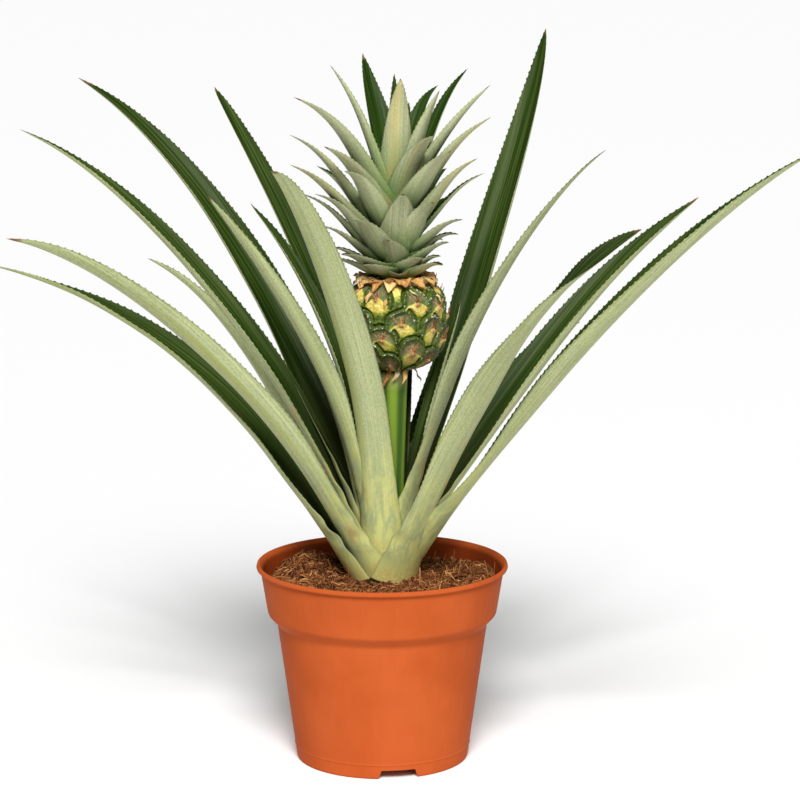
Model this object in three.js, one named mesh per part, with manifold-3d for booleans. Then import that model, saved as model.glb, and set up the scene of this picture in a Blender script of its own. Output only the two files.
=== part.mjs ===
// Potted ornamental pineapple: a plastic nursery pot, coir soil, a short stem with a rosette of
// long spiny leaves, a flower stalk, a small fruit of spiral eyes and the crown on top of it.
// Millimetres, +Z up, the origin at the centre of the pot's foot, +X to the viewer's right.
import * as THREE from 'three';
import { mergeVertices } from 'three/addons/utils/BufferGeometryUtils.js';
import Module from 'manifold-3d';

const wasm = await Module();
wasm.setup();

// Driving dimensions.
const GAP = 0.3; // clearance between neighbouring pieces
const RIM_RADIUS = 60;
const RIM_HEIGHT = 94.8;
const LIP_HEIGHT = 2.4;
const COLLAR_TOP_RADIUS = 58.1;
const COLLAR_FOOT_RADIUS = 54.6;
const COLLAR_DROP = 23.8; // rim to the lower edge of the collar
const CHAMFER_DROP = 28.4; // rim to the lower edge of the collar's chamfer
const BODY_TOP_RADIUS = 50.25;
const FOOT_RADIUS = 41;
const WALL = 1.3;
const FLOOR_UNDERSIDE = 4.8;
const FOOT_RING_WIDTH = 2.6;
const BEAD_HEIGHT = 7; // faint raised line above the foot
const NOTCH_COUNT = 3;
const NOTCH_WIDTH = 20;
const NOTCH_HEIGHT = 4.4;
const NOTCH_ANGLE = 281; // degrees, the notch that faces the viewer
const DRAIN_RADIUS = 4;
const DRAIN_CIRCLE = 29;
const POT_SIDES = 40;

const SOIL_LEVEL = 84.5;
const PLANT_X = 6.5; // the plant stands a little right of and behind the pot's axis
const PLANT_Y = 4;
const LEAN = 4.5; // how far left of the plant's axis the stem stands in the soil
const LEAN_FOOT = 90; // from here the plant leans back, and it is on its axis at LEAN_TOP
const LEAN_TOP = 187;
const STALK_OFFSET = 2; // how far left of the axis the stalk meets the fruit
const STEM_RADIUS = 12.9;
const STEM_TOP_RADIUS = 8.2;
const STEM_FOOT = 58;
const STEM_TOP = 118;
const STEM_LEVELS = [96, 107]; // where the stem's lean has a bend
const STALK_RADIUS = 7;
const FRUIT_RADIUS = 23.2;
const FRUIT_FOOT = 187;
const FRUIT_TOP = 231.5;
const FRUIT_SHOULDER = 4.4; // how square the fruit's upper half is
const EYE_START = 191; // level that the spiral of eyes is counted from
const EYE_STEP = 1.2; // rise from one eye to the next along the spiral
const EYE_TURN = 137.5; // degrees from one eye to the next
const EYE_RELIEF = 2.2;
const FRONT_EYE = 20; // number of the eye that faces the front, and its compass angle
const FRONT_EYE_ANGLE = 276.6;
const HOOD_WIDTH = 7.3; // half the width of the hood over an eye
const HOOD_HEIGHT = 8;
// How far an eye lies off the spiral: its number, degrees to the right and rise.
const EYE_SHIFTS = [[20, 0.5, -2.7], [12, -3, -0.8], [7, 2, -1], [15, 9, -0.5], [25, 2, 2.4],
  [28, -1, -2.6], [-1, -9, 1]];
const LEAF_ROOT_THICKNESS = 1.1;
const LEAF_TIP_THICKNESS = 0.65;
const CHANNEL_RADIUS = 10; // how tightly a long leaf of the usual width is rolled across
const USUAL_WIDTH = 26;
const SPINE_LENGTH = 0.9;
const WAIST_AT = 0.18; // where on a leaf its waist lies, from root to tip
const WAIST_REACH = 0.13;
const ROLL_STARTS = [0.03, 0.18, 0.4, 0.65]; // where on a leaf each of its four rolls sets in
const ROLL_SPAN = 0.25;

// Long leaves, from the outermost to the innermost, each rooted a little higher on the stem than
// the one before. Compass angle in degrees, then reach and height of the three points that steer
// the arch, which are the shoulder, the elbow and the tip, then width, flare of the root, waist
// above it, fullness towards the tip, and roll in degrees at four places from root to tip.
const LONG_LEAVES = [
  [184, 61, 166, 116, 221, 193, 240, 25, 0.4, 0.05, 2.0, [-32, -34, -18, 10]],
  [300, 46.5, 168.5, 141, 253, 200.5, 275, 24.5, 0.35, 0.43, 2.0, [0, 0, 30, 80]],
  [208.5, 43.5, 156, 137.5, 251, 193, 261, 27.5, 0.4, 0.25, 2.3, [0, 6, 14, 24]],
  [327, 70, 180, 160, 270, 212, 301, 34, 0.3, 0.4, 2.2, [24, 18, 20, 12]],
  [98, 60, 152, 116, 204, 167, 198, 26, 0.05, 0.2, 2.2, [0, 6, 10, 6]],
  [40, 52, 150, 90, 196, 120, 198, 24, 0.05, 0.2, 2.2, [0, -4, -8, 4]],
  [150, 64, 156, 92, 215, 142, 231, 18, 0.05, 0.2, 2.2, [30, 50, 50, 50]],
  [122, 54, 160, 96, 206, 136, 212, 24, 0.05, 0.2, 2.2, [0, 4, -6, -6]],
  [247, 22, 193, 112, 288.5, 134, 293.6, 24, 0.35, 0.2, 2.4, [0, 0, 0, 0]],
  [68, 50, 160, 92, 210, 130, 204, 24, 0.05, 0.2, 2.2, [0, 8, 4, -6]],
  [24, 70, 180, 108, 225, 163, 262, 28, 0.05, 0.2, 2.8, [0, 0, 0, 0]],
  [170, 56, 189, 124, 275, 182, 298, 25, 0.05, 0.15, 1.9, [-8, -10, -8, 4]],
  [90, 46, 176, 86, 226, 120, 226, 24, 0.05, 0.2, 2.2, [0, -6, 0, 6]],
  [148, 58, 208, 123, 290, 187, 318, 30, 0.05, 0.15, 1.9, [-34, -20, -8, -4]],
  [172, 28, 182, 60, 232, 78, 252, 14, 0.05, 0.1, 2.2, [0, 0, 0, 0]],
  [308, 26, 193, 108, 282, 146, 302, 19, 0, 0.6, 1.15, [4, 10, 20, 30]],
  [96, 36, 182, 72, 228, 102, 230, 22, 0.05, 0.2, 2.2, [0, 6, 4, 0]],
  [219, 32.5, 187, 79, 244, 107, 277, 20, 0, 0.45, 2.2, [0, 0, 0, 0]],
  [125, 20, 190, 140, 291, 162, 311, 23, 0.05, 0.1, 1.7, [0, 0, 0, 0]],
  [50, 56, 210, 107, 296, 115, 343, 28, 0.05, 0.45, 2.2, [0, 0, 0, 0]],
  [28, 16, 170, 30, 196, 35, 218, 12, 0.05, 0.1, 2.2, [0, 0, 0, 0]],
  [88, 26, 190, 58, 246, 78, 258, 20, 0.05, 0.2, 2.2, [0, 0, 0, 0]],
  [147, 30, 198, 57, 236, 84, 261, 16, 0.05, 0.1, 2.0, [0, 0, 0, 0]],
];
// How far the two outermost leaves stand off the stem at their root.
const STANDOFFS = [2.6, 1.3];
const FIRST_ROOT = 85.2;
const ROOT_STEP = 1.35;
const LEAF_STATIONS = 9;
const LEAF_STRIPS = 4;
const LEAF_SPINES = 5; // on each margin

// Crown leaves seen from the front: compass angle, reach and height of the tip, height of the
// root on the crown's core, width, droop of the tip and sag above the root.
const CROWN_LEAVES = [
  [276, 17, 235, 232.5, 15, 1, 1],
  [233, 25, 240, 232.5, 17, 1, 1],
  [305, 22, 243, 234, 17, 2, 1],
  [325, 27, 239, 232.5, 15, 4, 2],
  [203, 31, 241, 233, 14, 3, 3],
  [222, 34, 245, 234.5, 17, 3, 3],
  [345, 22, 242, 234, 14, 3, 1],
  [189, 30, 246, 235, 15, 3, 3],
  [262, 25, 252, 236, 19, 2, -1],
  [338, 27, 249, 237, 15, 4, 2],
  [202, 37, 257, 238, 14, 5, 4],
  [240, 38, 262, 239, 21, 7, 4],
  [352, 30, 252, 239.5, 14, 7, 2],
  [196, 46, 272, 239.5, 13, 8, 4],
  [212, 44, 273, 240.5, 16, 9, 4],
  [337, 34, 260, 242, 17, 6, 3],
  [300, 35, 270, 243.5, 19, 7, 4],
  [210, 56, 287, 244.5, 18, 8, 4],
  [277, 29, 274, 239, 26, 3, 3],
  [5, 42, 280, 247, 10, 7, 2],
  [169, 38, 283, 248, 19, 7, 4],
  [334, 42, 289, 249, 19, 7, 2],
  [203, 53, 300, 250, 17, 10, 4],
  [238, 44, 285, 250.5, 20, 10, 4],
  [227, 48, 296, 254.5, 20, 9, 0],
  [336, 48, 308, 255, 20, 9, -2],
  [306, 43, 294, 256.5, 21, 6, 1],
  [214, 56, 318, 257.5, 21, 15, -3],
  [297, 39, 301, 260.5, 19, 10, -7],
  [332, 49, 323, 261.5, 15, 6, -4],
  [275, 26, 326, 263.5, 21, 7, -4],
  [318, 27, 320, 264, 16, 4, -1],
  [213, 36, 332, 265.5, 10, 7, -2],
  [43, 47, 327, 267, 12, 9, 3],
  [57, 37, 319, 268.5, 14, 16, 0],
  [124, 28, 334.5, 270.5, 20, -1, -3],
  [95, 8, 326, 274, 10, 1, 0],
];
// The crown's back leaves follow the spiral rule instead.
const CROWN_BACK_LEAVES = 11;
const CROWN_CORE_RADIUS = 8.5;
const CROWN_CORE_HEIGHT = 48;
const DRY_BRACTS = 13;

const rad = THREE.MathUtils.degToRad;
const lerp = THREE.MathUtils.lerp;

function finish(color, roughness) {
  return new THREE.MeshStandardMaterial({ color, roughness, metalness: 0, side: THREE.DoubleSide });
}

const MATERIALS = {
  pot: finish(0xd9682f, 0.45),
  soil: finish(0x5a3a26, 0.95),
  leaf: finish(0x7f9a63, 0.5),
  stem: finish(0xb4bf72, 0.6),
  stalk: finish(0x7fa83a, 0.45),
  fruit: finish(0x5f7a3c, 0.4),
  crown: finish(0x8ba36c, 0.5),
};

// A closed solid as plain lists, before it becomes a mesh.
function newShell() {
  return { points: [], faces: [] };
}

function toGeometry(shell) {
  const geometry = new THREE.BufferGeometry();
  geometry.setAttribute('position', new THREE.Float32BufferAttribute(shell.points.flat(), 3));
  geometry.setIndex(shell.faces.flat());
  geometry.computeVertexNormals();
  return geometry;
}

function toManifold(geometry) {
  const bare = geometry.clone();
  bare.deleteAttribute('normal');
  bare.deleteAttribute('uv');
  const merged = mergeVertices(bare, 1e-4);
  const mesh = new wasm.Mesh({
    numProp: 3,
    vertProperties: new Float32Array(merged.attributes.position.array),
    triVerts: new Uint32Array(merged.index.array),
  });
  return new wasm.Manifold(mesh);
}

function fromManifold(manifold) {
  const mesh = manifold.getMesh();
  const geometry = new THREE.BufferGeometry();
  geometry.setAttribute('position', new THREE.BufferAttribute(mesh.vertProperties, 3));
  geometry.setIndex(new THREE.BufferAttribute(mesh.triVerts, 1));
  geometry.computeVertexNormals();
  return geometry;
}

// Solids grown together: their union, with the small pockets shut in between them filled.
function grownTogether(parts) {
  const shells = parts.reduce((whole, part) => whole.add(part)).decompose();
  const solids = shells.filter((shell) => shell.volume() > 0);
  return solids.reduce((whole, solid) => whole.add(solid));
}

// A body of revolution about +Z from a profile of [radius, height] that starts and ends on the axis.
function turned(profile, sides) {
  const points = profile.map(([r, z]) => new THREE.Vector2(r, z));
  const geometry = new THREE.LatheGeometry(points, sides);
  geometry.rotateX(Math.PI / 2);
  return geometry;
}

function leanAt(z) {
  return LEAN * (1 - THREE.MathUtils.smoothstep(z, LEAN_FOOT, LEAN_TOP));
}

// A geometry moved left, level by level, as the plant leans.
function leaned(geometry) {
  const points = geometry.attributes.position;
  for (let k = 0; k < points.count; k += 1) {
    points.setX(k, points.getX(k) - leanAt(points.getZ(k)));
  }
  return geometry;
}

// A star-shaped closed surface: rings of points around an axis, closed by one point at each end.
function ringedShell(rings, bottom, top) {
  const shell = newShell();
  const sides = rings[0].length;
  shell.points.push(bottom);
  rings.forEach((ring) => shell.points.push(...ring));
  shell.points.push(top);
  const last = shell.points.length - 1;
  const at = (ring, side) => 1 + ring * sides + (side % sides);
  for (let side = 0; side < sides; side += 1) {
    shell.faces.push([0, at(0, side + 1), at(0, side)]);
    shell.faces.push([last, at(rings.length - 1, side), at(rings.length - 1, side + 1)]);
    for (let ring = 0; ring < rings.length - 1; ring += 1) {
      shell.faces.push([at(ring, side), at(ring, side + 1), at(ring + 1, side + 1)]);
      shell.faces.push([at(ring, side), at(ring + 1, side + 1), at(ring + 1, side)]);
    }
  }
  return shell;
}

// The pot

function potInnerRadius(z) {
  const low = [FOOT_RADIUS - WALL, 0];
  const waist = [BODY_TOP_RADIUS - WALL, RIM_HEIGHT - CHAMFER_DROP];
  const collar = [COLLAR_FOOT_RADIUS - WALL, RIM_HEIGHT - COLLAR_DROP];
  const top = [COLLAR_TOP_RADIUS - WALL, RIM_HEIGHT - LIP_HEIGHT];
  const legs = [[low, waist], [waist, collar], [collar, top]];
  const leg = legs.find(([, upper]) => z <= upper[1]) ?? legs[2];
  return lerp(leg[0][0], leg[1][0], (z - leg[0][1]) / (leg[1][1] - leg[0][1]));
}

function potGeometry() {
  const lipFoot = RIM_HEIGHT - LIP_HEIGHT;
  const taper = (BODY_TOP_RADIUS - FOOT_RADIUS) / (RIM_HEIGHT - CHAMFER_DROP);
  const bodyRadius = (z) => FOOT_RADIUS + taper * z;
  const floorTop = FLOOR_UNDERSIDE + WALL;
  const profile = [
    [0, FLOOR_UNDERSIDE],
    [FOOT_RADIUS - FOOT_RING_WIDTH, FLOOR_UNDERSIDE],
    [FOOT_RADIUS - FOOT_RING_WIDTH, 0],
    [FOOT_RADIUS, 0],
    [bodyRadius(BEAD_HEIGHT - 0.6), BEAD_HEIGHT - 0.6],
    [bodyRadius(BEAD_HEIGHT) + 0.3, BEAD_HEIGHT],
    [bodyRadius(BEAD_HEIGHT + 0.6), BEAD_HEIGHT + 0.6],
    [BODY_TOP_RADIUS, RIM_HEIGHT - CHAMFER_DROP],
    [COLLAR_FOOT_RADIUS, RIM_HEIGHT - COLLAR_DROP],
    [COLLAR_TOP_RADIUS, lipFoot],
    [RIM_RADIUS - 0.3, lipFoot + 0.2],
    [RIM_RADIUS, lipFoot + 0.8],
    [RIM_RADIUS - 0.4, RIM_HEIGHT],
    [RIM_RADIUS - 1.5, RIM_HEIGHT],
    [potInnerRadius(lipFoot), lipFoot],
    [potInnerRadius(RIM_HEIGHT - COLLAR_DROP), RIM_HEIGHT - COLLAR_DROP],
    [potInnerRadius(RIM_HEIGHT - CHAMFER_DROP), RIM_HEIGHT - CHAMFER_DROP],
    [potInnerRadius(floorTop), floorTop],
    [0, floorTop],
  ];
  let pot = toManifold(turned(profile, POT_SIDES));
  for (let k = 0; k < NOTCH_COUNT; k += 1) {
    const turn = rad(NOTCH_ANGLE + (360 / NOTCH_COUNT) * k);
    const outline = new THREE.Shape([
      new THREE.Vector2(-NOTCH_WIDTH / 2, -1),
      new THREE.Vector2(NOTCH_WIDTH / 2, -1),
      new THREE.Vector2(NOTCH_WIDTH / 2 - 2, NOTCH_HEIGHT),
      new THREE.Vector2(-NOTCH_WIDTH / 2 + 2, NOTCH_HEIGHT),
    ]);
    const wedge = new THREE.ExtrudeGeometry(outline, { depth: 12, bevelEnabled: false, steps: 1 });
    wedge.rotateX(Math.PI / 2);
    wedge.translate(0, FOOT_RADIUS + 5, 0);
    wedge.rotateZ(turn - Math.PI / 2);
    pot = pot.subtract(toManifold(wedge));
    const drain = new THREE.CylinderGeometry(DRAIN_RADIUS, DRAIN_RADIUS, 8, 16);
    drain.rotateX(Math.PI / 2);
    drain.translate(DRAIN_CIRCLE * Math.cos(turn), DRAIN_CIRCLE * Math.sin(turn), FLOOR_UNDERSIDE);
    pot = pot.subtract(toManifold(drain));
  }
  return fromManifold(pot);
}

// The soil, mounded, with a plain hole for the stem

function soilHeight(angle, radius) {
  const mound = (direction, distance, height, spread) => {
    const x = radius * Math.cos(angle) - distance * Math.cos(rad(direction));
    const y = radius * Math.sin(angle) - distance * Math.sin(rad(direction));
    return height * Math.exp(-(x * x + y * y) / (spread * spread));
  };
  const lumps = 0.5 * Math.sin(7 * angle + radius * 0.3) + 0.4 * Math.sin(11 * angle - radius * 0.5);
  const mounds = mound(150, 42, 5, 15) + mound(20, 46, 3.5, 13) + mound(265, 34, 1.5, 14);
  return SOIL_LEVEL + (lumps + mounds) * Math.min(1, (radius - STEM_RADIUS) / 12);
}

function soilGeometry() {
  const sides = POT_SIDES;
  const hole = STEM_RADIUS + GAP;
  const floor = FLOOR_UNDERSIDE + WALL + GAP;
  const ring = (radiusAt, heightAt) => {
    const points = [];
    for (let side = 0; side < sides; side += 1) {
      const angle = (2 * Math.PI * side) / sides;
      const z = heightAt(angle);
      const r = radiusAt(z);
      points.push([r * Math.cos(angle), r * Math.sin(angle), z]);
    }
    return points;
  };
  const wall = (z) => potInnerRadius(z) - GAP - 0.15;
  const rings = [ring(wall, () => floor)];
  rings.push(ring(wall, () => RIM_HEIGHT - CHAMFER_DROP));
  rings.push(ring(wall, () => RIM_HEIGHT - COLLAR_DROP));
  rings.push(ring(wall, (angle) => soilHeight(angle, wall(SOIL_LEVEL)) - 0.8));
  // Inward over the top, from the wall to the hole, which is centred on the plant.
  for (const part of [0.92, 0.72, 0.5, 0.28, 0.1, 0]) {
    const points = [];
    for (let side = 0; side < sides; side += 1) {
      const angle = (2 * Math.PI * side) / sides;
      const outer = wall(SOIL_LEVEL);
      const x = lerp(PLANT_X - LEAN + hole * Math.cos(angle), outer * Math.cos(angle), part);
      const y = lerp(PLANT_Y + hole * Math.sin(angle), outer * Math.sin(angle), part);
      const z = part === 0 ? SOIL_LEVEL : soilHeight(Math.atan2(y, x), Math.hypot(x, y));
      points.push([x, y, z]);
    }
    rings.push(points);
  }
  const foot = rings[rings.length - 1].map(([x, y]) => [x, y, STEM_FOOT - GAP]);
  rings.push(foot);
  const shell = ringedShell(rings, [0, 0, floor], [
    PLANT_X - LEAN, PLANT_Y, STEM_FOOT - GAP]);
  return toGeometry(shell);
}

// The stem and the flower stalk

function stemRadius(z) {
  const rise = THREE.MathUtils.clamp((z - SOIL_LEVEL) / (STEM_TOP - SOIL_LEVEL), 0, 1);
  return lerp(STEM_RADIUS, STEM_TOP_RADIUS, rise);
}

function stemGeometry() {
  const profile = [
    [0, STEM_FOOT],
    [STEM_RADIUS - 2, STEM_FOOT],
    [STEM_RADIUS, STEM_FOOT + 2],
    [STEM_RADIUS, SOIL_LEVEL],
    ...STEM_LEVELS.map((z) => [stemRadius(z), z]),
    [STEM_TOP_RADIUS, STEM_TOP],
    [0, STEM_TOP],
  ];
  return leaned(turned(profile, 28));
}

function stalkGeometry() {
  const sides = 24;
  const foot = STEM_TOP + GAP;
  const top = FRUIT_FOOT - GAP;
  const rings = [];
  for (const part of [0, 0.25, 0.5, 0.75, 0.92, 1]) {
    const points = [];
    const swell = 1 + 0.08 * part * part;
    const left = lerp(leanAt(foot), STALK_OFFSET, part);
    for (let side = 0; side < sides; side += 1) {
      const angle = (2 * Math.PI * side) / sides;
      const rib = 1 + 0.035 * Math.cos(8 * angle);
      const r = STALK_RADIUS * swell * rib;
      points.push([r * Math.cos(angle) - left, r * Math.sin(angle), lerp(foot, top, part)]);
    }
    rings.push(points);
  }
  return toGeometry(ringedShell(rings, [-leanAt(foot), 0, foot], [-STALK_OFFSET, 0, top]));
}

// Leaf blades. A blade follows a spine, is rolled across into a channel, tapers to a point and
// carries forward-leaning spines on both margins.

function bezier(a, b, c, d, t) {
  const s = 1 - t;
  return s * s * s * a + 3 * s * s * t * b + 3 * s * t * t * c + t * t * t * d;
}

// The spine lies in the upright plane at the leaf's compass angle.
function archedSpine(leaf) {
  const out = new THREE.Vector3(Math.cos(rad(leaf.angle)), Math.sin(rad(leaf.angle)), 0);
  const side = new THREE.Vector3(-out.y, out.x, 0);
  const reaches = leaf.steer.map(([reach]) => reach);
  const heights = leaf.steer.map(([, height]) => height);
  const at = (t) => out.clone().multiplyScalar(bezier(...reaches, t))
    .add(new THREE.Vector3(0, 0, bezier(...heights, t)));
  return { at, side };
}

// Steering points of a short leaf that rises straight from its root and droops at its tip.
function simpleArch(rootRadius, root, reach, tip, sag, droop) {
  const [dx, dz] = [reach - rootRadius, tip - root];
  const chord = Math.hypot(dx, dz);
  const [nx, nz] = [-dz / chord, dx / chord];
  return [[rootRadius, root], [rootRadius + dx / 3 - nx * sag, root + dz / 3 - nz * sag],
    [rootRadius + (2 * dx) / 3 + nx * droop, root + (2 * dz) / 3 + nz * droop], [reach, tip]];
}

function bladeTaper(leaf, t) {
  return Math.pow(Math.max(0, 1 - Math.pow(t, leaf.fullness)), 0.9);
}

function bladeWidth(leaf, t) {
  const narrowing = 1 - leaf.waist * Math.exp(-Math.pow((t - WAIST_AT) / WAIST_REACH, 2));
  return leaf.width * bladeTaper(leaf, t) * (1 + leaf.rootFlare * Math.pow(1 - t, 8)) * narrowing;
}

// How far the blade has rolled about its spine at t, in radians.
function bladeRoll(leaf, t) {
  let roll = 0;
  leaf.rolls.forEach((value, k) => {
    const start = ROLL_STARTS[k];
    const before = k === 0 ? 0 : leaf.rolls[k - 1];
    roll += (value - before) * THREE.MathUtils.smoothstep(t, start, start + ROLL_SPAN);
  });
  return rad(roll);
}

// The frame across the blade at t: the point on the spine, its direction, the direction to the
// side, and the direction that the upper face looks in.
function bladeFrame(leaf, spine, t) {
  const step = 0.002;
  const along = spine.at(t + step).sub(spine.at(t - step)).normalize();
  const side = spine.side.clone().addScaledVector(along, -spine.side.dot(along)).normalize();
  side.applyAxisAngle(along, bladeRoll(leaf, t));
  const up = along.clone().cross(side);
  return { point: spine.at(t), along, side, up };
}

// A point of the blade: across runs from -1 to 1, face is +1 on the upper face and -1 below.
function bladePoint(leaf, spine, t, across, face) {
  const frame = bladeFrame(leaf, spine, t);
  const settle = THREE.MathUtils.smoothstep(t, 0, 0.35);
  const channel = lerp(leaf.rootRadius, leaf.channel * Math.pow(bladeTaper(leaf, t), 0.6), settle);
  const turn = (across * bladeWidth(leaf, t)) / (2 * channel);
  const thickness = lerp(leaf.thickness, leaf.tipThickness, t);
  const radius = channel - (face * thickness) / 2;
  return frame.point.clone()
    .addScaledVector(frame.side, radius * Math.sin(turn))
    .addScaledVector(frame.up, channel - radius * Math.cos(turn));
}

function bladeShell(leaf, stations, strips, spines) {
  const spine = archedSpine(leaf);
  const shell = newShell();
  const stationAt = (k) => Math.pow(k / stations, 1.15);
  const add = (point) => shell.points.push(point.toArray()) - 1;
  const grid = [-1, 1].map((face) => {
    const rows = [];
    for (let k = 0; k < stations; k += 1) {
      const row = [];
      for (let j = 0; j <= strips; j += 1) {
        row.push(add(bladePoint(leaf, spine, stationAt(k), (2 * j) / strips - 1, face)));
      }
      rows.push(row);
    }
    return rows;
  });
  const [lower, upper] = grid;
  const tip = add(spine.at(1));
  // Each face is written once for the lower grid and once, turned over, for the upper one.
  const both = (a, b, c) => {
    shell.faces.push([a[0], b[0], c[0]]);
    shell.faces.push([c[1], b[1], a[1]]);
  };
  const pair = (k, j) => [lower[k][j], upper[k][j]];
  const last = stations - 1;
  const spineStep = (stations - 2) / spines;
  const spineRows = new Set();
  for (let n = 0; n < spines; n += 1) {
    spineRows.add(1 + Math.floor(n * spineStep));
  }
  for (let k = 0; k < last; k += 1) {
    for (let j = 0; j < strips; j += 1) {
      const outer = j === 0 ? 0 : j + 1;
      const inner = j === 0 ? 1 : j;
      const isMargin = j === 0 || j === strips - 1;
      if (isMargin && spineRows.has(k)) {
        addSpine(leaf, spine, add, shell, both, pair, k, outer, inner, stationAt);
      } else {
        both(pair(k, j), pair(k, j + 1), pair(k + 1, j + 1));
        both(pair(k, j), pair(k + 1, j + 1), pair(k + 1, j));
        if (j === 0) {
          shell.faces.push([lower[k][0], lower[k + 1][0], upper[k + 1][0]]);
          shell.faces.push([lower[k][0], upper[k + 1][0], upper[k][0]]);
        }
        if (j === strips - 1) {
          shell.faces.push([lower[k][strips], upper[k + 1][strips], lower[k + 1][strips]]);
          shell.faces.push([lower[k][strips], upper[k][strips], upper[k + 1][strips]]);
        }
      }
    }
  }
  for (let j = 0; j < strips; j += 1) {
    shell.faces.push([lower[last][j], lower[last][j + 1], tip]);
    shell.faces.push([upper[last][j + 1], upper[last][j], tip]);
    shell.faces.push([lower[0][j], upper[0][j], upper[0][j + 1]]);
    shell.faces.push([lower[0][j], upper[0][j + 1], lower[0][j + 1]]);
  }
  shell.faces.push([lower[last][0], tip, upper[last][0]]);
  shell.faces.push([lower[last][strips], upper[last][strips], tip]);
  return shell;
}

// One margin strip between two stations, with a spine in its middle that leans to the tip.
function addSpine(leaf, spine, add, shell, both, pair, k, outer, inner, stationAt) {
  const t0 = stationAt(k);
  const t1 = stationAt(k + 1);
  const sign = outer === 0 ? -1 : 1;
  const span = spine.at(t1).distanceTo(spine.at(t0));
  const middle = (t0 + t1) / 2;
  const half = (SPINE_LENGTH * 0.75 * (t1 - t0)) / span;
  const length = SPINE_LENGTH * Math.min(1, leaf.width / 16);
  const rows = [middle - half, middle + half].map((t) => [-1, 1].map(
    (face) => add(bladePoint(leaf, spine, t, sign, face)),
  ));
  const root = bladePoint(leaf, spine, middle + half, sign, 0);
  const heart = bladePoint(leaf, spine, middle + half, sign * 0.8, 0);
  const outward = root.clone().sub(heart).normalize();
  const frame = bladeFrame(leaf, spine, middle);
  const apex = add(root.clone().addScaledVector(outward, length)
    .addScaledVector(frame.along, length * 0.6));
  const [a, b] = rows;
  const [m0, m1, i0, i1] = [pair(k, outer), pair(k + 1, outer), pair(k, inner), pair(k + 1, inner)];
  const tipPair = [apex, apex];
  const fan = (p, q, r) => (sign < 0 ? both(p, r, q) : both(p, q, r));
  fan(i0, m0, a);
  fan(i0, a, b);
  fan(i0, b, i1);
  fan(i1, b, m1);
  fan(a, tipPair, b);
  const wall = (p, q) => {
    const quad = [[p[0], q[1], q[0]], [p[0], p[1], q[1]]];
    quad.forEach((face) => {
      if (new Set(face).size === 3) {
        shell.faces.push(sign < 0 ? [face[0], face[2], face[1]] : face);
      }
    });
  };
  wall(m0, a);
  wall(a, tipPair);
  wall(tipPair, b);
  wall(b, m1);
}

// A long leaf as a solid. With spare above zero it is thicker and wider by that much all round.
function longLeafSolid(index, spare) {
  const [angle, ...values] = LONG_LEAVES[index];
  const [shoulderReach, shoulder, elbowReach, elbow, reach, tip, width, ...form] = values;
  const [rootFlare, waist, fullness, rolls] = form;
  const root = FIRST_ROOT + ROOT_STEP * index;
  const standoff = STANDOFFS[index] ?? 0;
  const clear = stemRadius(root) + GAP + LEAF_ROOT_THICKNESS / 2 + 0.05 + standoff;
  // The flats between the strips lie a little inside their circle, so the circle is larger.
  const rootRadius = clear / Math.cos((width * (1 + rootFlare)) / (2 * LEAF_STRIPS * clear));
  const leaf = {
    angle,
    steer: [[rootRadius, root - spare], [shoulderReach, shoulder], [elbowReach, elbow], [reach, tip]],
    width: width + 2 * spare,
    thickness: LEAF_ROOT_THICKNESS + 2 * spare,
    tipThickness: LEAF_TIP_THICKNESS + 2 * spare,
    rootRadius,
    channel: (CHANNEL_RADIUS * width) / USUAL_WIDTH,
    rootFlare,
    waist,
    fullness,
    rolls,
  };
  return toManifold(leaned(toGeometry(bladeShell(leaf, LEAF_STATIONS, LEAF_STRIPS, LEAF_SPINES))));
}

// Near the stem the leaves clasp each other, and the margin of an outer leaf gives way there to
// the leaves inside it.
function longLeafGeometries() {
  const geometries = [];
  const inside = [];
  for (let index = LONG_LEAVES.length - 1; index >= 0; index -= 1) {
    const leaf = inside.reduce((solid, other) => solid.subtract(other), longLeafSolid(index, 0));
    const pieces = leaf.decompose();
    const largest = pieces.reduce((best, piece) => (piece.volume() > best.volume() ? piece : best));
    geometries[index] = fromManifold(largest);
    inside.push(longLeafSolid(index, GAP));
  }
  return geometries;
}

// The fruit: an egg-shaped body whose eyes lie on one spiral and are raised by a formula.

function fruitProfile(part) {
  const squash = Math.pow(Math.abs(2 * part - 1), part < 0.5 ? 2.7 : FRUIT_SHOULDER);
  return FRUIT_RADIUS * Math.pow(Math.max(0, 1 - squash), 1 / 2.1);
}

// Angle and height of an eye's beak.
function eyePlace(number) {
  const [, aside, up] = EYE_SHIFTS.find((row) => row[0] === number) ?? [number, 0, 0];
  const angle = rad(FRONT_EYE_ANGLE + EYE_TURN * (number - FRONT_EYE) + aside);
  return [angle, EYE_START + EYE_STEP * number + up];
}

// Relief at a place on the fruit: 1 on the hood over an eye, less on the foot below its beak and
// 0 in the grooves. A place belongs to the hood that it lies deepest in, or to the nearest foot.
function eyeRelief(angle, z) {
  const first = Math.round((z - EYE_START) / EYE_STEP);
  let best = -Infinity;
  let relief = 0;
  for (let k = first - 18; k <= first + 18; k += 1) {
    const [eyeAngle, eyeZ] = eyePlace(k);
    const turn = angle - eyeAngle;
    const u = Math.atan2(Math.sin(turn), Math.cos(turn)) * FRUIT_RADIUS * 0.94;
    const v = z - eyeZ;
    const hood = Math.hypot(u / HOOD_WIDTH, v / HOOD_HEIGHT);
    const hooded = v > 0 && hood < 1;
    const claim = hooded ? 1 - hood * hood : -0.02 - 0.036 * Math.hypot(u, v);
    if (claim > best) {
      best = claim;
      const away = hooded ? hood : Math.abs(u) / HOOD_WIDTH;
      relief = 1 - THREE.MathUtils.smoothstep(away, 0.75, 1);
      relief *= 1 - 0.5 * THREE.MathUtils.smoothstep(-v, 0, HOOD_HEIGHT);
    }
  }
  return relief;
}

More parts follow.
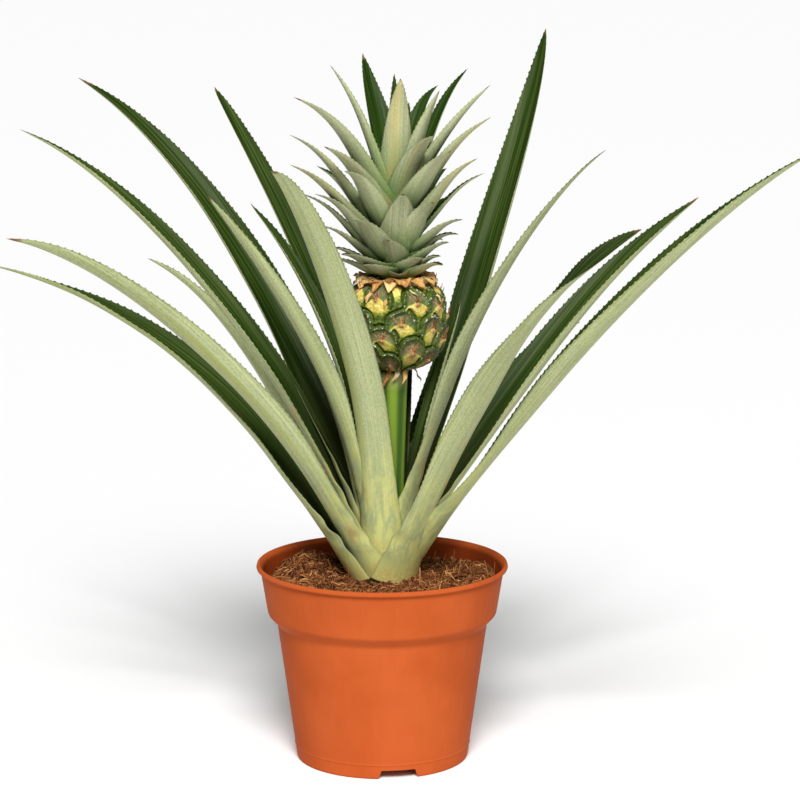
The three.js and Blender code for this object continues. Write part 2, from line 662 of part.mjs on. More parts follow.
function fruitShell() {
  const sides = 44;
  const levels = 21;
  const rings = [];
  for (let level = 1; level < levels; level += 1) {
    const part = 0.5 - 0.5 * Math.cos((Math.PI * level) / levels);
    const z = lerp(FRUIT_FOOT, FRUIT_TOP, part);
    const points = [];
    for (let side = 0; side < sides; side += 1) {
      const angle = (2 * Math.PI * side) / sides;
      const body = fruitProfile(part);
      const relief = EYE_RELIEF * Math.min(1, body / (0.7 * FRUIT_RADIUS));
      const r = body - relief * 0.7 + relief * eyeRelief(angle, z);
      points.push([r * Math.cos(angle), r * Math.sin(angle), z]);
    }
    rings.push(points);
  }
  return ringedShell(rings, [0, 0, FRUIT_FOOT], [0, 0, FRUIT_TOP]);
}

// Thin dry bracts that stand round the top of the fruit and hang under its foot.
function dryBract(angle, rootRadius, root, reach, tip, width, droop) {
  return {
    angle,
    steer: simpleArch(rootRadius, root, reach, tip, -droop, droop),
    width,
    rootRadius,
    channel: 14,
    thickness: 0.9,
    tipThickness: 0.6,
    rootFlare: 0,
    waist: 0,
    fullness: 1.6,
    rolls: [],
  };
}

function fruitGeometry() {
  const parts = [toManifold(toGeometry(fruitShell()))];
  for (let k = 0; k < DRY_BRACTS; k += 1) {
    const angle = (360 / DRY_BRACTS) * k + 7 * Math.sin(5 * k);
    const lift = 1.2 * Math.sin(3.7 * k);
    const bract = dryBract(angle, 14, FRUIT_TOP - 5, 22.5 + lift, FRUIT_TOP - 0.5 + lift, 7, -1.5);
    parts.push(toManifold(toGeometry(bladeShell(bract, 3, 2, 0))));
  }
  for (const [angle, reach, tip] of [[275, 14, 178], [300, 15, 180], [250, 13, 181], [20, 14, 180],
    [120, 14, 179], [180, 14, 181]]) {
    const bract = dryBract(angle, 9.2, FRUIT_FOOT + 3.5, reach, tip, 7, 2);
    parts.push(toManifold(toGeometry(bladeShell(bract, 3, 2, 0))));
  }
  return fromManifold(grownTogether(parts));
}

// The crown: a slim core with channelled leaves, the front ones by hand, the back by the spiral.

function crownLeaf([angle, reach, tip, root, width, droop, sag]) {
  const rootRadius = crownCoreRadius(root) - 0.9;
  return {
    angle,
    steer: simpleArch(rootRadius, root, reach, tip, sag, droop),
    width,
    rootRadius,
    channel: width * 0.5,
    thickness: 1.1,
    tipThickness: 0.6,
    rootFlare: 0.15,
    waist: 0,
    fullness: 1.7,
    rolls: [],
  };
}

function crownCoreRadius(z) {
  const rise = (z - FRUIT_TOP) / CROWN_CORE_HEIGHT;
  return CROWN_CORE_RADIUS * (1 - 0.55 * rise);
}

function crownBackRows() {
  const rows = [];
  for (let k = 0; k < CROWN_BACK_LEAVES; k += 1) {
    const part = k / (CROWN_BACK_LEAVES - 1);
    const angle = 45 + ((k * 52.5) % 100);
    const reach = 32 + 16 * Math.sin(Math.PI * Math.min(1, part * 1.25)) - 14 * part;
    const tip = lerp(246, 312, Math.pow(part, 0.75));
    const width = 14 + 2 * Math.sin(2 * k);
    rows.push([angle, reach, tip, lerp(236, 272, part), width, 8 - 5 * part, 2 - 4 * part]);
  }
  return rows;
}

function crownGeometry() {
  const foot = FRUIT_TOP + GAP;
  const top = FRUIT_TOP + CROWN_CORE_HEIGHT;
  const profile = [
    [0, foot],
    [crownCoreRadius(foot), foot],
    [crownCoreRadius(top), top],
    [0, top + 3],
  ];
  const parts = [toManifold(turned(profile, 14))];
  for (const row of [...CROWN_LEAVES, ...crownBackRows()]) {
    parts.push(toManifold(toGeometry(bladeShell(crownLeaf(row), 4, 2, 1))));
  }
  return fromManifold(grownTogether(parts));
}

// Assembly

const plant = new THREE.Group();
const pineapple = new THREE.Group();
pineapple.position.set(PLANT_X, PLANT_Y, 0);
plant.add(pineapple);

function place(parent, name, geometry, material) {
  const mesh = new THREE.Mesh(geometry, material);
  mesh.name = name;
  parent.add(mesh);
}

place(plant, 'pot', potGeometry(), MATERIALS.pot);
place(plant, 'soil', soilGeometry(), MATERIALS.soil);
place(pineapple, 'stem', stemGeometry(), MATERIALS.stem);
longLeafGeometries().forEach((geometry, index) => {
  place(pineapple, `leaf_${String(index + 1).padStart(2, '0')}`, geometry, MATERIALS.leaf);
});
place(pineapple, 'stalk', stalkGeometry(), MATERIALS.stalk);
place(pineapple, 'fruit', fruitGeometry(), MATERIALS.fruit);
place(pineapple, 'crown', crownGeometry(), MATERIALS.crown);

export default plant;
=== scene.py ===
import math

import bpy
import numpy as np
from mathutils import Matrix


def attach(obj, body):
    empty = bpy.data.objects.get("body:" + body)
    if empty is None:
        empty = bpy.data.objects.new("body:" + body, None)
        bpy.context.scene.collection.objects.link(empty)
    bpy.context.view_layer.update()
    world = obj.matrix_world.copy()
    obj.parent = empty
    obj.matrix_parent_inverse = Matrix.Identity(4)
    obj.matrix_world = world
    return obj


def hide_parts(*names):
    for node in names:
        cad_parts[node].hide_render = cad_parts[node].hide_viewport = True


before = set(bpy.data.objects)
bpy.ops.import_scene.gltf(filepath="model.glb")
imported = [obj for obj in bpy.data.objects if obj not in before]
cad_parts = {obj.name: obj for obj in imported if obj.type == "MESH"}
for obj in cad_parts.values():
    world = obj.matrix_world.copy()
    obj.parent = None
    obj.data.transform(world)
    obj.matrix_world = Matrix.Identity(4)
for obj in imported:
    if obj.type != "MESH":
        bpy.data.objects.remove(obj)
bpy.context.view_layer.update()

# Lengths are worked out in millimetres and become metres when a mesh is made.
MM = 0.001
UP = np.array([0, 0, 1.0])
rng = np.random.default_rng(20)

# The pot
RIM_RADIUS = 60.0
RIM_HEIGHT = 94.8
LIP_FOOT = RIM_HEIGHT - 2.4
COLLAR_TOP_RADIUS = 58.1
COLLAR_FOOT_RADIUS = 54.6
COLLAR_FOOT = RIM_HEIGHT - 23.8
CHAMFER_FOOT = RIM_HEIGHT - 28.4
BODY_TOP_RADIUS = 50.25
FOOT_RADIUS = 41.0
WALL = 1.3
FLOOR_UNDERSIDE = 4.8
FOOT_RING_WIDTH = 2.6
BEAD_HEIGHT = 7.0
NOTCH_ANGLES = (281, 41, 161)
NOTCH_WIDTH = 20.0
NOTCH_HEIGHT = 4.4
DRAIN_RADIUS = 4.0
DRAIN_CIRCLE = 29.0
DRAIN_SIDES = 32
POT_SIDES = 216

# The plant stands a little right of the pot's axis and behind it.
PLANT = np.array([6.5, 4.0, 0.0])
# How far left of that axis the stem stands in the soil, the levels between which the plant
# comes back on it, and how far left of it the stalk meets the fruit
LEAN = 4.5
LEAN_FOOT = 90.0
LEAN_TOP = 187.0
STALK_OFFSET = 2.0
GAP = 0.3
SOIL_LEVEL = 84.5
# Mounds of soil: compass angle, distance from the pot's axis, height and spread
MOUNDS = [[148, 42, 8, 14], [20, 46, 5, 13], [265, 34, 1.5, 14]]
# Crumbs on the soil: size, seed of their pattern and height
CRUMBS = [[9, 3, 0.7], [4, 4, 0.5], [1.8, 5, 0.3]]
STEM_RADIUS = 12.9
STEM_TOP_RADIUS = 8.2
STEM_FOOT = 58.0
STEM_TOP = 118.0
STEM_SIDES = 64
STALK_RADIUS = 7.0
STALK_RIBS = 5
FRUIT_RADIUS = 23.2
FRUIT_FOOT = 187.0
FRUIT_TOP = 231.5
# How full the fruit is in its lower and in its upper half
FRUIT_BELLY = 2.7
FRUIT_SHOULDER = 4.4
# The eyes stand on a spiral and are numbered upwards. The front eye sets its turn.
EYE_START = 191
EYE_STEP = 1.2
EYE_TURN = 137.5
FRONT_EYE = 20
FRONT_EYE_ANGLE = 276.6
HOOD_WIDTH = 7.3
HOOD_HEIGHT = 8.0
# How far an eye lies off the spiral: its number, degrees to the right and rise
EYE_SHIFTS = [[20, 0.5, -2.7], [12, -3, -0.8], [7, 2, -1], [15, 9, -0.5], [25, 2, 2.4],
              [28, -1, -2.6], [-1, -9, 1]]
# Bracts that hang over the fruit's eyes: angle, height of the root and of the tip, width
HANGING_BRACTS = [[259, 230, 220, 6], [306, 231, 218, 7], [288, 231, 225, 5], [232, 230, 222, 6],
                  [335, 230, 221, 6], [20, 231, 222, 6], [75, 230, 220, 6], [140, 231, 221, 6],
                  [190, 230, 222, 6]]
# Bracts under the fruit's foot: angle, reach and height of the tip
FOOT_BRACTS = [[250, 11, 180], [268, 10, 183], [300, 12, 182], [20, 13, 180], [75, 12, 182],
               [120, 13, 179], [180, 13, 181]]
CROWN_CORE_RADIUS = 8.5
CROWN_CORE_HEIGHT = 48.0
CROWN_CORE_SIDES = 32

# Long leaves, outermost first: compass angle in degrees, then reach and height of the shoulder,
# the elbow and the tip, then width, flare of the root, waist above it, fullness towards the
# tip, roll in degrees at four places from root to tip, and how yellow it is.
LONG_LEAVES = [
    [184, 61, 166, 116, 221, 193, 240, 25, 0.4, 0.05, 2.0, (-32, -34, -18, 10), 0.5],
    [300, 46.5, 168.5, 141, 253, 200.5, 275, 24.5, 0.35, 0.43, 2.0, (0, 0, 30, 80), 0.7],
    [208.5, 43.5, 156, 137.5, 251, 193, 261, 27.5, 0.4, 0.25, 2.3, (0, 6, 14, 24), 0.6],
    [327, 70, 180, 160, 270, 212, 301, 34, 0.3, 0.4, 2.2, (24, 18, 20, 12), 0.4],
    [98, 60, 152, 116, 204, 167, 198, 26, 0.05, 0.2, 2.2, (0, 6, 10, 6), 0.3],
    [40, 52, 150, 90, 196, 120, 198, 24, 0.05, 0.2, 2.2, (0, -4, -8, 4), 0.3],
    [150, 64, 156, 92, 215, 142, 231, 18, 0.05, 0.2, 2.2, (30, 50, 50, 50), 0.5],
    [122, 54, 160, 96, 206, 136, 212, 24, 0.05, 0.2, 2.2, (0, 4, -6, -6), 0.3],
    [247, 22, 193, 112, 288.5, 134, 293.6, 24, 0.35, 0.2, 2.4, (0, 0, 0, 0), 0.5],
    [68, 50, 160, 92, 210, 130, 204, 24, 0.05, 0.2, 2.2, (0, 8, 4, -6), 0.3],
    [24, 70, 180, 108, 225, 163, 262, 28, 0.05, 0.2, 2.8, (0, 0, 0, 0), 0.2],
    [170, 56, 189, 124, 275, 182, 298, 25, 0.05, 0.15, 1.9, (-8, -10, -8, 4), 0.2],
    [90, 46, 176, 86, 226, 120, 226, 24, 0.05, 0.2, 2.2, (0, -6, 0, 6), 0.3],
    [148, 58, 208, 123, 290, 187, 318, 30, 0.05, 0.15, 1.9, (-34, -20, -8, -4), 0.1],
    [172, 28, 182, 60, 232, 78, 252, 14, 0.05, 0.1, 2.2, (0, 0, 0, 0), 0.3],
    [308, 26, 193, 108, 282, 146, 302, 19, 0, 0.6, 1.15, (4, 10, 20, 30), 0.1],
    [96, 36, 182, 72, 228, 102, 230, 22, 0.05, 0.2, 2.2, (0, 6, 4, 0), 0.3],
    [219, 32.5, 187, 79, 244, 107, 277, 20, 0, 0.45, 2.2, (0, 0, 0, 0), 0.3],
    [125, 20, 190, 140, 291, 162, 311, 23, 0.05, 0.1, 1.7, (0, 0, 0, 0), 0.1],
    [50, 56, 210, 107, 296, 115, 343, 28, 0.05, 0.45, 2.2, (0, 0, 0, 0), 0.0],
    [28, 16, 170, 30, 196, 35, 218, 12, 0.05, 0.1, 2.2, (0, 0, 0, 0), 0.0],
    [88, 26, 190, 58, 246, 78, 258, 20, 0.05, 0.2, 2.2, (0, 0, 0, 0), 0.2],
    [147, 30, 198, 57, 236, 84, 261, 16, 0.05, 0.1, 2.0, (0, 0, 0, 0), 0.2],
]
FIRST_ROOT = 85.2
ROOT_STEP = 1.35
# How far the two outermost leaves stand off the stem at their root
STANDOFFS = [2.6, 1.3]
# Where on a leaf each of its four rolls sets in and over what part of it, and where its waist
# lies and how far it goes
ROLL_STARTS = [0.03, 0.18, 0.4, 0.65]
ROLL_SPAN = 0.25
WAIST_AT = 0.18
WAIST_REACH = 0.13

# Crown leaves, lowest first: compass angle, reach and height of the tip, height of the root,
# width, droop of the tip and sag above the root.
CROWN_LEAVES = [
    [276, 17, 235, 232.5, 15, 1, 1], [233, 25, 240, 232.5, 17, 1, 1],
    [305, 22, 243, 234, 17, 2, 1], [325, 27, 239, 232.5, 15, 4, 2],
    [203, 31, 241, 233, 14, 3, 3], [222, 34, 245, 234.5, 17, 3, 3], [345, 22, 242, 234, 14, 3, 1],
    [189, 30, 246, 235, 15, 3, 3], [262, 25, 252, 236, 19, 2, -1],
    [338, 27, 249, 237, 15, 4, 2], [202, 37, 257, 238, 14, 5, 4], [240, 38, 262, 239, 21, 7, 4],
    [352, 30, 252, 239.5, 14, 7, 2], [196, 46, 272, 239.5, 13, 8, 4],
    [212, 44, 273, 240.5, 16, 9, 4], [337, 34, 260, 242, 17, 6, 3],
    [300, 35, 270, 243.5, 19, 7, 4], [210, 56, 287, 244.5, 18, 8, 4],
    [277, 29, 274, 239, 26, 3, 3], [5, 42, 280, 247, 10, 7, 2], [169, 38, 283, 248, 19, 7, 4],
    [334, 42, 289, 249, 19, 7, 2], [203, 53, 300, 250, 17, 10, 4],
    [238, 44, 285, 250.5, 20, 10, 4], [227, 48, 296, 254.5, 20, 9, 0],
    [336, 48, 308, 255, 20, 9, -2], [306, 43, 294, 256.5, 21, 6, 1],
    [214, 56, 318, 257.5, 21, 15, -3], [297, 39, 301, 260.5, 19, 10, -7],
    [332, 49, 323, 261.5, 15, 6, -4], [275, 26, 326, 263.5, 21, 7, -4],
    [318, 27, 320, 264, 16, 4, -1], [213, 36, 332, 265.5, 10, 7, -2],
    [43, 47, 327, 267, 12, 9, 3], [57, 37, 319, 268.5, 14, 16, 0],
    [124, 28, 334.5, 270.5, 20, -1, -3], [95, 8, 326, 274, 10, 1, 0],
]
# How much cream there is on the crown leaves that point this way, in place of a random tint
CREAM = {318: 3.0, 275: 0.6, 332: 1.0}
# How the three kinds of blade are made: thickness at the root and at the tip, height of a tooth
# and the pitch of the teeth, and strips across
LONG_BLADE = {"thickness": 1.1, "tip_thickness": 0.65, "tooth": 0.5, "pitch": 3.4, "strips": 10}
CROWN_BLADE = {"thickness": 1.1, "tip_thickness": 0.6, "tooth": 0.35, "pitch": 2.4, "strips": 8}
BRACT_BLADE = {"thickness": 0.7, "tip_thickness": 0.5, "tooth": 0.0, "pitch": 0.8, "strips": 8}
CROWN_BACK_LEAVES = 11

# Loose strands of coir: how many, the ring of soil they start in, how far out they may reach,
# and the tuft in which the first of them stand up
STRANDS = 4200
STRAND_RING = (15.0, 53.5)
STRAND_REACH = 54.3
STRANDS_STANDING = 0.006
TUFT = 7
TUFT_PLACE = (33.0, 8.0)

# The camera, in metres, and how far in degrees it looks down
CAMERA_PLACE = (0.0085, -1.3, 0.412)
CAMERA_PITCH = 10.4
LENS_LENGTH = 126


# Small formulas

def lerp(a, b, t):
    """The value at part t of the way from a to b."""
    return a + (b - a) * t


def smoothstep(x, low, high):
    """0 up to low, 1 from high on, and the cubic 3s^2 - 2s^3 between them."""
    s = np.clip((x - low) / (high - low), 0, 1)
    return s * s * (3 - 2 * s)


def cubic(a, b, c, d, t):
    """Curve from a to d that is steered by b and c."""
    s = 1 - t
    return s ** 3 * a + 3 * s * s * t * b + 3 * s * t * t * c + t ** 3 * d


def bell(x, width):
    """exp(-(x / width)^2), a soft bump of that half width."""
    return np.exp(-(x / width) ** 2)


def unit(vectors):
    """Each vector divided by its length."""
    return vectors / np.linalg.norm(vectors, axis=-1, keepdims=True)


def joined(*values):
    """The values side by side along a last axis, spread to a common shape."""
    return np.stack(np.broadcast_arrays(*values), axis=-1)


def around(sides):
    """That many even angles round a circle, in radians."""
    return np.linspace(0, 2 * np.pi, sides, endpoint=False)


def polar(radius, angle, z):
    """Points at these distances and angles from the upright axis and at these heights."""
    return joined(radius * np.cos(angle), radius * np.sin(angle), z)


def rolling(x, y, size, seed, waves=9):
    """Smooth random relief from -1 to 1: a sum of plane waves of about that size in random
    directions and phases."""
    pick = np.random.default_rng(seed)
    total = 0
    for turn, phase, stretch in zip(pick.uniform(0, 6.28, waves), pick.uniform(0, 6.28, waves),
                                    pick.uniform(0.6, 1.5, waves)):
        total = total + np.sin((x * math.cos(turn) + y * math.sin(turn))
                               * 6.28 * stretch / size + phase)
    return total / waves ** 0.5 / 1.6


def lean_at(z):
    """How far left of its axis the plant is at a height: LEAN below, then smoothly to none."""
    return LEAN * (1 - smoothstep(z, LEAN_FOOT, LEAN_TOP))


# Meshes

def grid_quads(rows, columns):
    """Faces of a grid of points, rows by columns, that is closed across its columns."""
    low = np.arange(rows - 1)[:, None] * columns
    at = np.arange(columns)[None, :]
    after = (at + 1) % columns
    return joined(low + at, low + after, low + columns + after, low + columns + at).reshape(-1, 4)


def fan(ring, centre, reverse=False):
    """Triangles from each edge of a ring of point numbers to a centre point."""
    after = np.roll(ring, -1)
    pair = (after, ring) if reverse else (ring, after)
    return joined(*pair, centre)


def lids(sides, last):
    """Triangles that close a ring of points and the ring that comes last points after it."""
    ring = np.arange(sides)
    return np.concatenate([joined(0, ring[2:], ring[1:-1]),
                           joined(0, ring[1:-1], ring[2:]) + last])


def add_object(name, data):
    """A new object in the scene."""
    item = bpy.data.objects.new(name, data)
    bpy.context.scene.collection.objects.link(item)
    return item


class Shape:
    """Points, four-cornered faces, triangles and attributes that are gathered for one piece."""

    def __init__(self):
        self.points, self.quads, self.tris, self.values, self.count = [], [], [], {}, 0

    def add(self, points, quads=None, tris=None, **values):
        """Adds points with their faces, which are numbered from this call's first point."""
        points = np.asarray(points, float).reshape(-1, 3)
        if quads is not None:
            self.quads.append(np.asarray(quads) + self.count)
        if tris is not None:
            self.tris.append(np.asarray(tris) + self.count)
        for name, value in values.items():
            rows = np.broadcast_to(value, (len(points), 3))
            self.values.setdefault(name, []).append(rows)
        self.points.append(points)
        self.count += len(points)

    def close(self, rows, sides, ends, **values):
        """Closes the grid that was added last, rows by sides, round a point at each end."""
        first = np.arange(sides) - rows * sides
        self.add(ends, tris=np.concatenate([fan(first, 0, True),
                                            fan(first + (rows - 1) * sides, 1)]), **values)

    def piece(self, name, finish, slot, replaced=(), offset=(0, 0, 0), leaning=False):
        """Makes the mesh object, in metres, puts it on the root body and hides the imported parts
        that it replaces. The slot is not used.
        """
        points = np.concatenate(self.points) + np.asarray(offset)
        if leaning:
            points[:, 0] -= lean_at(points[:, 2])
        points = points * MM
        quads = np.concatenate(self.quads) if self.quads else np.zeros((0, 4), int)
        tris = np.concatenate(self.tris) if self.tris else np.zeros((0, 3), int)
        mesh = bpy.data.meshes.new(name)
        mesh.vertices.add(len(points))
        mesh.vertices.foreach_set("co", points.ravel())
        corners = np.concatenate([quads.ravel(), tris.ravel()])
        mesh.loops.add(len(corners))
        mesh.loops.foreach_set("vertex_index", corners.astype(np.int32))
        starts = np.concatenate([np.arange(len(quads)) * 4,
                                 len(quads) * 4 + np.arange(len(tris)) * 3])
        mesh.polygons.add(len(starts))
        mesh.polygons.foreach_set("loop_start", starts.astype(np.int32))
        mesh.update(calc_edges=True)
        mesh.validate()
        for key, rows in self.values.items():
            layer = mesh.attributes.new(key, "FLOAT_VECTOR", "POINT")
            layer.data.foreach_set("vector", np.concatenate(rows).ravel())
        mesh.shade_smooth()
        mesh.materials.append(finish)
        item = add_object(name, mesh)
        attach(item, "root")
        if replaced:
            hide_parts(*replaced)
        return item


def turned(shape, profile, sides, centre=(0, 0), **values):
    """A profile of (radius, height) pairs carried round an upright axis through the centre,
    and closed round a point of the axis at either end."""
    radius, height = np.asarray(profile, float).T[:, :, None]
    shape.add(polar(radius, around(sides), height) + [*centre, 0],
              grid_quads(len(profile), sides), **values)
    shape.close(len(profile), sides, [[*centre, profile[end][1]] for end in (0, -1)], **values)


def rounded(profile, radius):
    """The profile with each corner replaced by a short curve of about that radius, and one
    point close to either end of the curve that keeps the straight runs flat in shading."""
    profile = np.asarray(profile, float)
    out = [profile[0]]
    for before, corner, after in zip(profile, profile[1:], profile[2:]):
        legs = [before - corner, after - corner]
        sizes = [np.hypot(*leg) for leg in legs]
        reach = min(radius, 0.4 * min(sizes))
        first, last = [corner + leg / size * reach for leg, size in zip(legs, sizes)]
        out.append(corner + legs[0] / sizes[0] * reach * 1.15)
        for t in (0, 1 / 3, 2 / 3, 1):
            out.append((1 - t) ** 2 * first + 2 * t * (1 - t) * corner + t * t * last)
        out.append(corner + legs[1] / sizes[1] * reach * 1.15)
    out.append(profile[-1])
    return np.array(out)


def tubes(paths, radii, sides):
    """Round strands. Paths is strands by steps by 3, radii is strands by steps, and each ring
    of points stands across its path: point + radius (cos a, sin a) in the plane across it."""
    count, steps, _ = paths.shape
    along = unit(np.gradient(paths, axis=1))
    helper = np.where(np.abs(along[..., 2:]) < 0.8, [[[0.0, 0.0, 1.0]]], [[[1.0, 0.0, 0.0]]])
    first = unit(np.cross(along, helper))
    second = np.cross(along, first)
    angle = around(sides)[:, None]
    ring = first[:, :, None] * np.cos(angle) + second[:, :, None] * np.sin(angle)
    points = paths[:, :, None] + ring * radii[:, :, None, None]
    starts = (np.arange(count) * steps * sides)[:, None, None]
    quads = (grid_quads(steps, sides)[None] + starts).reshape(-1, 4)
    tris = (lids(sides, (steps - 1) * sides)[None] + starts).reshape(-1, 3)
    return points, quads, tris


# Blades

def arch(root_radius, root, reach, tip, sag, droop):
    """Steering points of a short leaf: its root, the points at a third and at two thirds of
    the straight line to its tip, moved off it by the sag and by the droop, and its tip."""
    dx, dz = reach - root_radius, tip - root
    chord = math.hypot(dx, dz)
    nx, nz = -dz / chord, dx / chord
    return [[root_radius, root],
            [root_radius + dx / 3 - nx * sag, root + dz / 3 - nz * sag],
            [root_radius + 2 * dx / 3 + nx * droop, root + 2 * dz / 3 + nz * droop],
            [reach, tip]]


def blade(shape, steer, angle, width, root_radius, channel, fullness, flare, tint, *,
          thickness, tip_thickness, tooth, pitch, strips, sway=0.0, waist=0.0,
          rolls=(0, 0, 0, 0), crumple=0.0, wavy=0.0):
    """A channelled blade with teeth on both margins.

    Its spine is the cubic curve with those steering points, in the upright plane at the
    compass angle, plus sway t^2 sideways. Its width is width (1 - t^fullness)^0.9 with a flare
    (1 - t)^8 at the root and a waist exp(-((t - 0.18) / 0.13)^2) above it. It rolls about its
    spine by the four angles, each reached a quarter of t after its start. Across, it is an arc
    whose radius goes from the root's to channel (1 - t^fullness)^0.54, and the upper and lower
    face lie half a thickness either side of it, closer together towards the margins. Its margins
    ripple near the root by wavy |across|^3 sin(120 t). Teeth stand at even steps along the arc
    length, and each leans to the tip."""
    steer = np.array(steer, float)
    out = polar(1, math.radians(angle), 0)
    aside = np.cross(UP, out)

    def spine(t):
        reach, height = [cubic(*steer[:, axis], t) for axis in (0, 1)]
        return reach * out + height * UP + sway * (t * t) * aside

    # Sections stand at even steps down the arc, four to a tooth
    dense = np.linspace(0, 1, 400)[:, None]
    run = np.concatenate([[0], np.cumsum(np.linalg.norm(np.diff(spine(dense), axis=0), axis=1))])
    length = run[-1]
    count = max(3, int(length / pitch)) * 4
    down = (np.arange(count) / count * length)[:, None]
    t = np.interp(down, run, dense[:, 0])
    along = unit(spine(t + 0.002) - spine(t - 0.002))
    side = unit(aside - along * (along @ aside)[:, None])
    up = np.cross(along, side)
    lean = np.radians(sum(change * smoothstep(t, low, low + ROLL_SPAN)
                          for change, low in zip(np.diff([0, *rolls]), ROLL_STARTS)))
    side, up = side * np.cos(lean) + up * np.sin(lean), up * np.cos(lean) - side * np.sin(lean)
    along, side, up = along[:, None], side[:, None], up[:, None]

    taper = np.maximum(0, 1 - t ** fullness) ** 0.9
    wide = width * taper * (1 + flare * (1 - t) ** 8) * (
        1 - waist * bell(t - WAIST_AT, WAIST_REACH))
    curl = lerp(root_radius, np.maximum(channel * taper ** 0.6, 0.05), smoothstep(t, 0, 0.35))
    thick = lerp(thickness, tip_thickness, t) * np.minimum(1, wide / 2)

    # One section: the lower face, the right margin, the upper face back again, the left margin
    quarter = 0.93 * np.pi / 2
    half = np.sin(np.linspace(-quarter, quarter, strips + 1)) / math.sin(quarter)
    across = np.concatenate([half, [1], half[::-1], [-1]])
    face = np.concatenate([-np.ones(strips + 1), [0], np.ones(strips + 1), [0]])
    edge = np.concatenate([np.zeros(strips + 1), [1], np.zeros(strips + 1), [-1]])
    thin = 1 - 0.55 * np.abs(across) ** 5
    bend = across * (wide / (2 * curl))
    radius = curl - face * (thick * thin) / 2
    points = (spine(t)[:, None] + side * (radius * np.sin(bend))[..., None]
              + up * (curl - radius * np.cos(bend))[..., None])

    # The margins: a fine lip all along, and a tooth at every pitch, left and right in turn
    rise = smoothstep(t, 0.1, 0.25) * np.minimum(1, wide / (0.35 * width) + 0.25)
    phase = np.arange(count)[:, None] % 4
    grow = np.where(edge > 0, phase == 1, phase == 3) * rise * tooth
    outward = (side * np.cos(bend)[..., None] + up * np.sin(bend)[..., None]) * edge[:, None]
    points += outward * (grow + 0.3 * np.minimum(1, wide / 4))[..., None]
    points += along * (grow * 0.7 * np.abs(edge))[..., None]
    relief = (np.sin(120 * t + 1.7 * across + angle) * np.abs(across) ** 3 * wavy
              * bell(t - 0.1, 0.045))
    if crumple:
        relief = relief + crumple * smoothstep(t, 0, 0.4) * rolling(across * wide / 2, down, 5.0,
                                                                    int(angle * 7))
    points += up * relief[..., None]

    size, layer = len(across), tint[0] * 40.0
    shape.add(points, grid_quads(count, size), hue=tint,
              place=joined(across * wide / 2, down, layer).reshape(-1, 3),
              spot=joined(across, t, (face + 1) / 2).reshape(-1, 3))
    shape.close(count, size, [points[0].mean(axis=0), spine(1.0)], hue=tint,
                place=[[0, 0, layer], [0, length, layer]], spot=[[0, 0, 0.5], [0, 1, 0.5]])


# Finishes

def srgb(red, green, blue):
    """A colour given as 0 to 255 on a screen, as linear light with full alpha."""
    parts = [value / 255 for value in (red, green, blue)]
    return tuple(p / 12.92 if p <= 0.04045 else ((p + 0.055) / 1.055) ** 2.4 for p in parts) + (1,)


class Value:
    """A socket whose number varies over a surface. Expressions on values add Math nodes."""

    def __init__(self, finish, socket):
        self.finish, self.socket = finish, socket

    def math(self, operation, *inputs):
        return self.finish.node("ShaderNodeMath", {"operation": operation},
                                dict(enumerate(inputs)))

    def __add__(self, other):
        return self.math("ADD", self, other)

    def __radd__(self, other):
        return self.math("ADD", other, self)

    def __sub__(self, other):
        return self.math("SUBTRACT", self, other)

    def __rsub__(self, other):
        return self.math("SUBTRACT", other, self)

    def __mul__(self, other):
        return self.math("MULTIPLY", self, other)

    def __rmul__(self, other):
        return self.math("MULTIPLY", other, self)

    def __pow__(self, other):
        return self.math("POWER", self, other)

    def __abs__(self):
        return self.math("ABSOLUTE", self)

    def clamped(self):
        """The value held between 0 and 1."""
        return self.math("MINIMUM", self.math("MAXIMUM", self, 0.0), 1.0)

    def between(self, low, high):
        """0 at low, 1 at high and smooth between them."""
        return self.finish.node("ShaderNodeMapRange", {"interpolation_type": "SMOOTHSTEP"},
                                {0: self, 1: low, 2: high, 3: 0.0, 4: 1.0})


